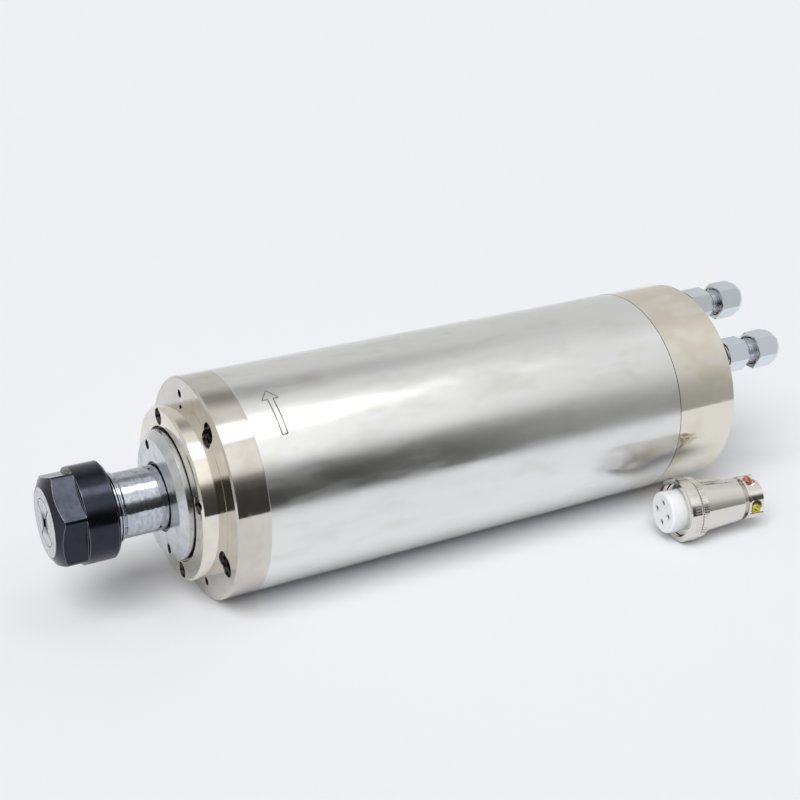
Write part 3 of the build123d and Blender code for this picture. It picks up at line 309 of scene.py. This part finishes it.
# Black oxide screws: nearly black, with an oily sheen.
blackScrewLook = {"colour": "#1e1f22", "roughness": 0.34, "spread": 0.08,
                  "grain": (0.6, 0.6, 0.6), "depth": 0.001,
                  "smudge": (2.0, 2.0, 2.0), "smudgeShare": 0.4,
                  "waveSize": (2.0, 2.0, 2.0), "waveDepth": 0.002}
blackScrew = groundMetal("blackScrewSteel", blackScrewLook)
dress(blackScrew, "black_screws", "front_flange_screws", "bearing_cap_screws", "rear_cap_screws")

# Hardened spring steel collet, ground all round: bright, with a fine sparkle, and painted shade on
# its face round the bore and slits.
colletSteelLook = {"colour": "#cbced1", "roughness": 0.2, "spread": 0.06,
                   "mottle": (1.4, 1.4, 1.4), "pitch": 0.6, "ringShare": 0.1,
                   "depth": 0.012, "edge": 0.2,
                   "stain": "#a4a8ac", "stainSize": (1.6, 1.6, 1.6), "stainRange": (0.4, 0.7),
                   "boreShade": "#1c1c1e", "boreShadeRadius": (2.2, 4.4), "boreShadePatches": (0.3, 2.4)}
colletSteel = turnedMetal("springSteel", colletSteelLook)
dress(colletSteel, "collet_steel", "collet", "extraction_ring")

# Bearing steel, ground and lapped: almost a perfect mirror.
bearingSteelLook = {"colour": "#dcdee2", "roughness": 0.08, "spread": 0.03,
                    "mottle": (1.0, 1.0, 1.0), "pitch": 0.4, "ringShare": 0.2, "depth": 0.001}
bearingSteel = turnedMetal("bearingSteel", bearingSteelLook)
dress(bearingSteel, "bearing_steel", "front_bearing_outer_rings", "front_outer_spacer",
      "rear_bearing_outer_rings", "rear_outer_spacer", "preload_spring",
      "front_bearing_inner_rings", "front_inner_spacer", "rear_bearing_inner_rings",
      "rear_inner_spacer", "front_bearing_balls", "rear_bearing_balls")

# Turned aluminium jacket and bearing housing: soft grey with visible tool rings.
jacketAluminiumLook = {"colour": "#d9dadc", "roughness": 0.32, "spread": 0.06,
                       "mottle": (3.0, 1.0, 1.0), "pitch": 0.7, "ringShare": 0.8, "depth": 0.004}
jacketAluminium = turnedMetal("turnedAluminium", jacketAluminiumLook)
dress(jacketAluminium, "jacket_aluminium", "water_jacket", "rear_bearing_housing")

# Die-cast aluminium rotor cage: a duller, lightly pitted skin.
castAluminiumLook = {"colour": "#c3c5c8", "roughness": 0.45, "spread": 0.1,
                     "grain": (0.9, 0.9, 0.9), "depth": 0.02,
                     "smudge": (5.0, 5.0, 5.0), "smudgeShare": 0.4,
                     "waveSize": (6.0, 6.0, 6.0), "waveDepth": 0.03}
castAluminium = groundMetal("castAluminium", castAluminiumLook)
dress(castAluminium, "cast_aluminium", "rotor_cage")

# Turned brass ferrules.
turnedBrassLook = {"colour": "#d8b878", "roughness": 0.2, "spread": 0.05,
                   "mottle": (1.0, 1.0, 1.0), "pitch": 0.3, "ringShare": 0.4, "depth": 0.002}
turnedBrass = turnedMetal("turnedBrass", turnedBrassLook)
dress(turnedBrass, "ferrule_brass", "water_inlet_ferrule", "water_outlet_ferrule")

# Gold-washed brass contacts: a little yellower and smoother.
contactBrassLook = {"colour": "#dcb865", "roughness": 0.18, "spread": 0.04,
                    "grain": (0.5, 0.5, 0.5), "depth": 0.0006,
                    "smudge": (1.5, 1.5, 1.5), "smudgeShare": 0.4,
                    "waveSize": (1.0, 1.0, 1.0), "waveDepth": 0.001}
contactBrass = groundMetal("goldWashedBrass", contactBrassLook)
dress(contactBrass, "gold_brass", "power_socket_pins", "plug_contacts")

print("metals done")


# Stacks, windings, plastics and rubber

def laminatedSteel(name, look):
    # punched sheets stacked along X: a fine dark line every sheet, each sheet a little different
    material, tree, shader = startMaterial(name, {**look, "metallic": 1.0})
    along = addNode(tree, "SeparateXYZ", feeds={0: addNode(tree, "TexCoord").outputs["Object"]})
    sheets = addNode(tree, "Math", {"operation": "MULTIPLY"}, {
        0: along.outputs["X"], 1: 1 / (look["sheet"] * mm)})
    within = addNode(tree, "Math", {"operation": "FRACT"}, {0: sheets.outputs[0]})
    number = addNode(tree, "Math", {"operation": "FLOOR"}, {0: sheets.outputs[0]})
    each = addNode(tree, "TexWhiteNoise", {"noise_dimensions": "1D"}, {"W": number.outputs[0]})
    edge = addNode(tree, "Math", {"operation": "PINGPONG"}, {0: within.outputs[0], 1: 0.5})
    line = spread(tree, edge.outputs[0], 0.0, 1.0, *look["gapEdge"])
    blend = addNode(tree, "Mix", {"data_type": "RGBA"}, {
        0: line, 6: linearColour(look["gap"]), 7: linearColour(look["colour"])})
    tree.links.new(blend.outputs[2], shader.inputs["Base Color"])
    gloss = spread(tree, each.outputs["Value"], look["roughness"] - look["spread"],
                   look["roughness"] + look["spread"], 0.0, 1.0)
    tree.links.new(gloss, shader.inputs["Roughness"])
    relief(tree, shader, line, look["depth"])
    return material


def enamelledWire(name, look):
    # wires laid lengthwise in the slots, under varnish
    material, tree, shader = startMaterial(name, {**look, "metallic": 0.85})
    place = addNode(tree, "TexCoord").outputs["Object"]
    laid = addNode(tree, "Mapping", feeds={
        "Vector": place, "Scale": [1 / (size * mm) for size in look["wire"]]})
    wires = addNode(tree, "TexVoronoi", {"feature": "F1"}, {
        "Vector": laid.outputs["Vector"], "Scale": 1.0})
    tint = addNode(tree, "Mix", {"data_type": "RGBA"}, {
        0: spread(tree, wires.outputs["Distance"], 0.0, 1.0, *look["shadowRange"]),
        6: linearColour(look["colour"]), 7: linearColour(look["shadow"])})
    tree.links.new(tint.outputs[2], shader.inputs["Base Color"])
    shader.inputs["Coat Weight"].default_value = look["varnish"]
    shader.inputs["Coat Roughness"].default_value = look["varnishRoughness"]
    crown = spread(tree, wires.outputs["Distance"], 1.0, 0.0, *look["crownRange"])
    relief(tree, shader, crown, look["depth"])
    return material


def mouldedSurface(name, look):
    # fine mould texture, with slight changes of gloss where the mould was polished
    material, tree, shader = startMaterial(name, look)
    shader.inputs["IOR"].default_value = look["refraction"]
    skin = patchNoise(tree, look["texture"])
    flow = patchNoise(tree, look["flow"], detail=1.0)
    tree.links.new(spread(tree, flow, look["roughness"] - look["spread"],
                          look["roughness"] + look["spread"]), shader.inputs["Roughness"])
    relief(tree, shader, skin, look["depth"], look.get("edge", 0.0))
    return material


def clothLaminate(name, look):
    # machined cloth-and-resin laminate: woven threads show through the resin
    material, tree, shader = startMaterial(name, look)
    along = addNode(tree, "SeparateXYZ", feeds={0: addNode(tree, "TexCoord").outputs["Object"]})
    weave = []
    for side in ("X", "Z"):
        turns = addNode(tree, "Math", {"operation": "MULTIPLY"}, {
            0: along.outputs[side], 1: tau / (look["thread"] * mm)})
        wave = addNode(tree, "Math", {"operation": "SINE"}, {0: turns.outputs[0]})
        weave.append(wave.outputs[0])
    cross = addNode(tree, "Math", {"operation": "MULTIPLY"}, {0: weave[0], 1: weave[1]})
    blend = addNode(tree, "Mix", {"data_type": "RGBA"}, {
        0: spread(tree, cross.outputs[0], 0.0, 1.0, *look["weaveRange"]),
        6: linearColour(look["colour"]), 7: linearColour(look["threadColour"])})
    tree.links.new(blend.outputs[2], shader.inputs["Base Color"])
    relief(tree, shader, cross.outputs[0], look["depth"])
    return material


# Silicon steel sheets, 0.5 mm thick: grey, finely lined, with dark varnish between.
laminationLook = {"colour": "#8f949c", "gap": "#3a3c40", "roughness": 0.38, "spread": 0.08,
                  "sheet": 0.5, "gapEdge": (0.04, 0.16), "depth": 0.02}
lamination = laminatedSteel("siliconSteelSheets", laminationLook)
dress(lamination, "core_laminations", "stator_core", "rotor_core")

# Enamelled copper wire of 0.8 mm: reddish, glossy under varnish.
copperWireLook = {"colour": "#c4703c", "shadow": "#5c2a14", "roughness": 0.28,
                  "wire": (6.0, 0.8, 0.8), "depth": 0.12, "shadowRange": (0.25, 0.75),
                  "crownRange": (0.1, 0.9), "varnish": 0.5, "varnishRoughness": 0.15}
copperWire = enamelledWire("enamelledCopper", copperWireLook)
dress(copperWire, "enamelled_copper", "stator_windings")

# White nylon insert: clean, slightly glossy moulding with a cool tone.
whiteNylonLook = {"colour": "#eceef0", "roughness": 0.32, "spread": 0.06, "refraction": 1.53,
                  "texture": (0.5, 0.5, 0.5), "flow": (4.0, 4.0, 4.0), "depth": 0.004, "edge": 0.4}
whiteNylon = mouldedSurface("whiteNylon", whiteNylonLook)
dress(whiteNylon, "white_nylon", "plug_insert")

# Black nylon socket insert.
blackNylonLook = {"colour": "#1d1e21", "roughness": 0.38, "spread": 0.06, "refraction": 1.53,
                  "texture": (0.5, 0.5, 0.5), "flow": (4.0, 4.0, 4.0), "depth": 0.005}
blackNylon = mouldedSurface("blackNylon", blackNylonLook)
dress(blackNylon, "black_nylon", "power_socket_insert")

# Nitrile rubber seals and washers: matt, faintly dusty black. On the washers under the water
# fittings this black is partly painted shade, for the gap between each fitting and the rear cap.
sealRubberLook = {"colour": "#1b1b1c", "roughness": 0.62, "spread": 0.1, "refraction": 1.52,
                  "texture": (0.4, 0.4, 0.4), "flow": (2.0, 2.0, 2.0), "depth": 0.01}
sealRubber = mouldedSurface("nitrileRubber", sealRubberLook)
dress(sealRubber, "seal_rubber", "jacket_seals")
# partly painted shade: the near-black washers stand for the shade in the gap under each fitting
washerAndGapShade = mouldedSurface("gapShadeWasherRubber", {**sealRubberLook, "colour": "#232326"})
dress(washerAndGapShade, "dark_washer", "fitting_washers")

# Cotton cloth in phenolic resin: warm brown with a 0.6 mm weave.
ballCageLook = {"colour": "#8a5a30", "threadColour": "#a5713f", "roughness": 0.5,
                "thread": 0.6, "weaveRange": (-0.5, 0.5), "depth": 0.02}
ballCage = clothLaminate("phenolicCloth", ballCageLook)
dress(ballCage, "phenolic_cage", "front_bearing_cages", "rear_bearing_cages")

print("stacks, windings and plastics done")


# Plug: its two clamp screws come from different batches, one copper-red and one yellow zinc

plugAxis = Vector((0.990268, -0.139173, 0.0))       # lies 8 degrees off the spindle's axis
plugStart = Vector((0.075, -0.0534, -0.0277))       # centre of the coupling ring's front edge
plugPlace = Matrix((
    (plugAxis.x, -plugAxis.y, 0.0, plugStart.x),
    (plugAxis.y, plugAxis.x, 0.0, plugStart.y),
    (0.0, 0.0, 1.0, plugStart.z),
    (0.0, 0.0, 0.0, 1.0)))

# Small pan heads on washers. Sizes in mm: station is along the plug, seat is the height of
# the washers over the plug's axis, and the outline gives (radius, rise over the seat).
clampScrewLook = {"redZinc": "#c4806a", "yellowZinc": "#cdbf55", "roughness": 0.2,
                  "film": (0.8, 0.8, 0.8), "filmRoughness": (0.14, 0.3), "filmDepth": 0.003,
                  "station": 32.3, "halfSpacing": 5.5, "seat": 3.0, "turn": -40.0, "steps": 32,
                  "outline": ((1.25, -5.2), (1.25, 0.0), (2.1, 0.0), (2.1, 0.35), (1.75, 0.4),
                              (1.7, 0.9), (1.45, 1.25), (0.95, 1.5), (0.6, 1.52), (0.5, 1.0))}


def chromatedZinc(name, look):
    # zinc under a coloured chromate film: glossy, with small thin and thick spots in the film
    material, tree, shader = startMaterial(name, {
        "colour": look[name], "metallic": 1.0, "roughness": look["roughness"]})
    film = patchNoise(tree, look["film"])
    tree.links.new(spread(tree, film, *look["filmRoughness"]), shader.inputs["Roughness"])
    relief(tree, shader, film, look["filmDepth"])
    return material


def clampScrew(name, side, material, look):
    # one screw turned to its outline, standing across the plug on the clamp's saddle
    level = Vector((-plugAxis.y, plugAxis.x, 0.0))
    turn = radians(look["turn"])
    out = -(level * cos(turn) + Vector((0.0, 0.0, sin(turn))))
    across = plugAxis.cross(-out)
    foot = plugStart + plugAxis * look["station"] * mm + across * side * look["halfSpacing"] * mm
    points = []
    for radius, rise in look["outline"]:
        for step in range(look["steps"]):
            angle = tau * step / look["steps"]
            points.append(foot + (out * (look["seat"] + rise) + plugAxis * radius * cos(angle)
                                  + across * radius * sin(angle)) * mm)
    faces = tubeFaces(len(look["outline"]), look["steps"], flip=True)
    piece = solidFrom(name, points, faces, material, "plug")
    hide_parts("plug_clamp_screws")


clampScrew("redClampScrew", 1, chromatedZinc("redZinc", clampScrewLook), clampScrewLook)
clampScrew("yellowClampScrew", -1, chromatedZinc("yellowZinc", clampScrewLook), clampScrewLook)


# Threads and knurls

def cutThread(name, place, look, material, body):
    # one ridge wound round the local X axis, fading out at both ends
    steps = look["stepsPerTurn"]
    count = int((look["end"] - look["start"]) / look["pitch"] * steps)
    points = []
    for step in range(count + 1):
        angle = tau * step / steps
        middle = look["start"] + look["pitch"] * step / steps
        fade = min(1.0, min(step, count - step) / (steps * look["fadeTurns"]) + look["endShare"])
        crest = look["root"] + (look["crest"] - look["root"]) * fade
        foot = look["root"] - look["bite"]
        for offset, radius in ((-look["footHalf"], foot), (-look["crestHalf"], crest),
                               (look["crestHalf"], crest), (look["footHalf"], foot)):
            points.append(place @ ringPoint(middle + offset, radius, angle))
    corners = len(points) // (count + 1)
    return solidFrom(name, points, tubeFaces(count + 1, corners), material, body)


def knurlBand(name, place, look, material, body):
    # straight knurl: small ridges along the axis, on a ring sunk in the piece it dresses
    points = []
    ridge = tuple(zip(look["flanks"], (look["root"], look["crest"], look["crest"], look["root"])))
    for station, lift in ((look["start"], -look["endDrop"]),
                          (look["start"] + look["endLength"], 0.0),
                          (look["end"] - look["endLength"], 0.0),
                          (look["end"], -look["endDrop"])):
        for number in range(look["ridges"]):
            for shift, radius in ridge:
                angle = tau * (number + shift) / look["ridges"]
                points.append(place @ ringPoint(station, radius + lift, angle))
    around = look["ridges"] * len(ridge)
    for station in (look["end"], look["start"]):
        for step in range(around):
            points.append(place @ ringPoint(station, look["inner"], tau * step / around))
    faces = tubeFaces(len(points) // around, around, closed=True, flip=True)
    return solidFrom(name, points, faces, material, body)


# Collet nut thread on the shaft's nose. Sizes in mm, along and round the spindle's axis.
noseThreadLook = {"start": -140.4, "end": -126.6, "pitch": 1.5, "root": 12.1, "crest": 12.5,
                  "bite": 0.06, "footHalf": 0.62, "crestHalf": 0.16, "fadeTurns": 0.5,
                  "endShare": 0.02, "stepsPerTurn": 72}
spindlePlace = Matrix.Identity(4)
cutThread("noseThread", spindlePlace, noseThreadLook, groundShaft, "rotor")

# Spigot threads: ring is the radius of the circle that the fittings stand on, and the
# angles say where on it.
spigotThreadLook = {"start": 125.6, "end": 133.2, "pitch": 1.0, "root": 4.65, "crest": 5.0,
                    "bite": 0.06, "footHalf": 0.42, "crestHalf": 0.1, "fadeTurns": 0.4,
                    "endShare": 0.02, "stepsPerTurn": 48, "ring": 32.3,
                    "angles": {"inletThread": 95.0, "outletThread": 145.0}}
for spigot, angle in spigotThreadLook["angles"].items():
    fittingPlace = Matrix.Translation(ringPoint(0.0, spigotThreadLook["ring"], radians(angle)))
    cutThread(spigot, fittingPlace, spigotThreadLook, threadPlate, "housing")

# Finger grips of the plug. Sizes in mm along and round its axis; flanks say where each ridge
# starts to rise, is up, starts to fall and is down, as shares of the step to the next.
couplingKnurlLook = {"start": 1.7, "end": 4.9, "root": 12.18, "crest": 12.34, "inner": 11.9,
                     "ridges": 76, "flanks": (0.0, 0.22, 0.56, 0.78), "endLength": 0.25,
                     "endDrop": 0.12}
knurlBand("couplingKnurl", plugPlace, couplingKnurlLook, nickelPlate, "plug_ring")
sleeveKnurlLook = {"start": 5.7, "end": 8.1, "root": 11.5, "crest": 11.74, "inner": 11.2,
                   "ridges": 72, "flanks": (0.0, 0.22, 0.56, 0.78), "endLength": 0.25,
                   "endDrop": 0.12}
knurlBand("sleeveKnurl", plugPlace, sleeveKnurlLook, nickelPlate, "plug")

print("threads and knurls done")


# Direction arrow, marked on the sleeve as a plain outline that points round it

# middle is along the sleeve in mm; tip, shoulder and tail are distances round it
arrowLook = {"middle": -75.4, "tip": 77.1, "shoulder": 81.3, "tail": 95.6, "headHalf": 3.0,
             "stemHalf": 1.0, "line": 0.45, "sleeveRadius": 40.0, "proud": 0.015, "bite": 0.05,
             "stepLength": 0.8, "colour": "#827f79", "metallic": 0.2, "roughness": 0.6,
             "spread": 0.1, "scorch": (0.3, 0.3, 0.3), "depth": 0.004}


def markedSteel(name, look):
    # laser marking leaves a matt grey-brown oxide, slightly grainy
    material, tree, shader = startMaterial(name, look)
    scorch = patchNoise(tree, look["scorch"])
    tree.links.new(spread(tree, scorch, look["roughness"] - look["spread"],
                          look["roughness"] + look["spread"]), shader.inputs["Roughness"])
    relief(tree, shader, scorch, look["depth"])
    return material


def arrowStroke(name, start, end, look, material):
    # one straight stroke of the outline, as (x, distance round the sleeve), laid on the curve
    direction = Vector(end) - Vector(start)
    side = Vector((-direction.y, direction.x)).normalized() * look["line"] / 2
    steps = max(1, round(direction.length / look["stepLength"]))
    points = []
    for step in range(steps + 1):
        middle = Vector(start) + direction * step / steps
        for offset, rise in ((side, -look["bite"]), (side, look["proud"]),
                             (-side, look["proud"]), (-side, -look["bite"])):
            spot = middle + offset
            points.append(ringPoint(spot.x, look["sleeveRadius"] + rise,
                                    spot.y / look["sleeveRadius"]))
    corners = len(points) // (steps + 1)
    return solidFrom(name, points, tubeFaces(steps + 1, corners), material,
                     "housing")


def arrowOutline(look):
    # seven strokes from corner to corner, starting at the tip
    middle = look["middle"]
    corners = [
        (middle, look["tip"]), (middle + look["headHalf"], look["shoulder"]),
        (middle + look["stemHalf"], look["shoulder"]), (middle + look["stemHalf"], look["tail"]),
        (middle - look["stemHalf"], look["tail"]), (middle - look["stemHalf"], look["shoulder"]),
        (middle - look["headHalf"], look["shoulder"])]
    material = markedSteel("laserMarkedSteel", look)
    for number, corner in enumerate(corners):
        following = corners[(number + 1) % len(corners)]
        arrowStroke(f"arrowStroke{number}", corner, following, look, material)


arrowOutline(arrowLook)
print("direction arrow done")


# Hairlines where the sleeve meets the front ring and the rear cap

# front and rear give (station, width) in mm
seamLook = {"radius": 40.0, "proud": 0.03, "bite": 0.08, "steps": 180,
            "front": (-86.2, 0.16), "rear": (86.2, 0.26)}


def seamRing(name, station, width, look, material):
    # a thin low rib that runs right round the joint
    half = width / 2
    outline = ((-half, -look["bite"]), (-half, 0.0), (0.0, look["proud"]), (half, 0.0),
               (half, -look["bite"]))
    points = []
    for step in range(look["steps"]):
        for offset, rise in outline:
            points.append(ringPoint(station + offset, look["radius"] + rise,
                                    tau * step / look["steps"]))
    faces = tubeFaces(look["steps"], len(outline), closed=True)
    return solidFrom(name, points, faces, material, "housing")


# a bright rib in front; behind, a near-black rib paints the shade in the joint's hairline gap
seamRing("frontSeam", *seamLook["front"], seamLook, bearingSteel)
# painted shade: near-black screw steel stands for the shadow in the rear joint
seamRing("rearGapShade", *seamLook["rear"], seamLook, blackScrew)
print("seams done")


# Table and light tent

# in metres; the spindle lies on the table, so its top is one body radius under the axis
tableLook = {"colour": "#f2f3f7", "edge": -0.24, "front": -1.6, "back": 2.2,
             "left": -1.8, "right": 1.8, "top": -0.04}


def paleTable(look):
    # a matt white board, and in front of its edge an apron that metal doesn't reflect
    places = {"paleTable": (look["edge"], look["back"]),
              "tableApron": (look["front"], look["edge"])}
    boards = {}
    for name, (near, far) in places.items():
        points = [(look["left"], near, look["top"]), (look["right"], near, look["top"]),
                  (look["right"], far, look["top"]), (look["left"], far, look["top"])]
        mesh = bpy.data.meshes.new(name)
        mesh.from_pydata(points, [], [(0, 1, 2, 3)])
        boards[name] = bpy.data.objects.new(name, mesh)
        scene.collection.objects.link(boards[name])
    boards["tableApron"].visible_glossy = False
    # painted board, without any gloss
    material = bpy.data.materials.new("mattWhiteBoard")
    material.use_nodes = True
    tree = material.node_tree
    tree.nodes.clear()
    matt = addNode(tree, "BsdfDiffuse", feeds={"Color": linearColour(look["colour"])})
    addNode(tree, "OutputMaterial", feeds={"Surface": matt.outputs[0]})
    for board in boards.values():
        board.data.materials.append(material)


# Brightness by height angle in degrees. The front has a dark gap, where the lens looks in,
# under a large soft box; gapAzimuth, gapHalf and gapFade say where the gap is and how wide.
# Each patch has (height, azimuth, inner and outer angle in degrees, brightness).
tentLook = {
    "background": "#f2f3f7",
    "front": ((-90, 0.06), (0, 0.05), (12, 0.07), (20, 0.14), (25, 0.35), (29, 0.82), (34, 1.0),
              (45, 0.98), (56, 1.15), (68, 1.25), (90, 1.25)),
    "frontSide": ((-90, 0.25), (0, 0.5), (10, 0.55), (20, 0.64), (30, 0.72), (38, 0.8), (45, 0.84),
                  (58, 0.84), (70, 0.95), (90, 1.25)),
    "back": ((-90, 0.4), (0, 0.72), (15, 0.68), (38, 0.7), (50, 0.72), (60, 0.76), (75, 0.9),
             (90, 1.25)),
    "gapAzimuth": -92.0, "gapHalf": 28.0, "gapFade": 16.0, "backFade": 0.1,
    "strength": 1.0, "fill": 0.49,
    "patches": {"boxGlow": (47, -67, 8.0, 18.0, 1.15), "lampCore": (69, -48, 5.5, 12.5, 4.0),
                "dimStrip": (57, 57, 4.0, 17.0, 0.36),
                "darkBehindLens": (14, -112, 13.0, 19.0, 0.05)}}


def skyWay(height, azimuth):
    # the direction of a point on the sky, from its angles in degrees
    flat = cos(radians(height))
    return Vector((flat * cos(radians(azimuth)), flat * sin(radians(azimuth)),
                   sin(radians(height))))


def lightTent(look):
    # metal reflects the tent at full strength and matt surfaces get its fill, while the
    # camera sees plain white behind
    world = bpy.data.worlds.new("lightTent")
    scene.world = world
    world.use_nodes = True
    tree = world.node_tree
    tree.nodes.clear()
    view = addNode(tree, "TexCoord").outputs["Generated"]
    way = addNode(tree, "SeparateXYZ", feeds={0: view})
    height = addNode(tree, "Math", {"operation": "ARCSINE"}, {0: way.outputs["Z"]})
    level = spread(tree, height.outputs[0], 0.0, 1.0, radians(-90), radians(90))
    bands = {}
    for band in ("front", "frontSide", "back"):
        ramp = addNode(tree, "ValToRGB", feeds={"Fac": level})
        stops = ramp.color_ramp.elements
        while len(stops) < len(look[band]):
            stops.new(0.5)
        for stop, (degrees, grey) in zip(stops, look[band]):
            stop.position = (degrees + 90) / 180
            stop.color = (grey, grey, grey, 1.0)
        bands[band] = ramp.outputs["Color"]
    azimuth = addNode(tree, "Math", {"operation": "ARCTAN2"}, {
        0: way.outputs["Y"], 1: way.outputs["X"]})
    away = addNode(tree, "Math", {"operation": "SUBTRACT"}, {
        0: azimuth.outputs[0], 1: radians(look["gapAzimuth"])})
    away = addNode(tree, "Math", {"operation": "ABSOLUTE"}, {0: away.outputs[0]})
    aside = spread(tree, away.outputs[0], 0.0, 1.0, radians(look["gapHalf"]),
                   radians(look["gapHalf"] + look["gapFade"]))
    front = addNode(tree, "Mix", {"data_type": "RGBA"}, {
        0: aside, 6: bands["front"], 7: bands["frontSide"]})
    behind = spread(tree, way.outputs["Y"], 0.0, 1.0, -look["backFade"], look["backFade"])
    tent = addNode(tree, "Mix", {"data_type": "RGBA"}, {
        0: behind, 6: front.outputs[2], 7: bands["back"]}).outputs[2]
    for tilt, turn, inner, outer, grey in look["patches"].values():
        centre = skyWay(tilt, turn)
        near = addNode(tree, "VectorMath", {"operation": "DOT_PRODUCT"}, {0: view, 1: centre})
        apart = addNode(tree, "Math", {"operation": "ARCCOSINE"}, {0: near.outputs["Value"]})
        share = spread(tree, apart.outputs[0], 1.0, 0.0, radians(inner), radians(outer))
        tent = addNode(tree, "Mix", {"data_type": "RGBA"}, {
            0: share, 6: tent, 7: (grey, grey, grey, 1.0)}).outputs[2]
    ray = addNode(tree, "LightPath")
    power = spread(tree, ray.outputs["Is Glossy Ray"], look["fill"], look["strength"], 0.0, 1.0)
    light = addNode(tree, "Background", feeds={"Color": tent, "Strength": power})
    plain = addNode(tree, "Background", feeds={
        "Color": linearColour(look["background"]), "Strength": 1.0})
    seen = addNode(tree, "MixShader", feeds={
        0: ray.outputs["Is Camera Ray"], 1: light.outputs[0], 2: plain.outputs[0]})
    addNode(tree, "OutputWorld", feeds={"Surface": seen.outputs[0]})


# the lamp stands in front, to the nose's side; metal doesn't reflect it
lampLook = {"height": 50.0, "azimuth": -138.0, "softness": 42.0, "power": 2.25}


def frontLamp(look):
    lamp = bpy.data.lights.new("frontLamp", "SUN")
    lamp.angle, lamp.energy = radians(look["softness"]), look["power"]
    holder = bpy.data.objects.new("frontLamp", lamp)
    scene.collection.objects.link(holder)
    holder.location = skyWay(look["height"], look["azimuth"])
    holder.rotation_euler = holder.location.to_track_quat("Z", "Y").to_euler()
    holder.visible_glossy = False


paleTable(tableLook)
lightTent(tentLook)
frontLamp(lampLook)
print("table and light tent done")


# Camera

cameraLook = {"place": (-0.25433, -0.42781, 0.22018), "aim": (-0.01533, 0.0, 0.0168),
              "lens": 64.3, "sensor": 36.0}


def setCamera(look):
    lens = bpy.data.cameras.new("benchCamera")
    lens.lens, lens.sensor_width = look["lens"], look["sensor"]
    camera = bpy.data.objects.new("benchCamera", lens)
    scene.collection.objects.link(camera)
    camera.location = look["place"]
    aim = Vector(look["aim"]) - camera.location
    camera.rotation_euler = aim.to_track_quat("-Z", "Y").to_euler()
    scene.camera = camera


setCamera(cameraLook)
scene.view_settings.view_transform = "Standard"
print("camera done")
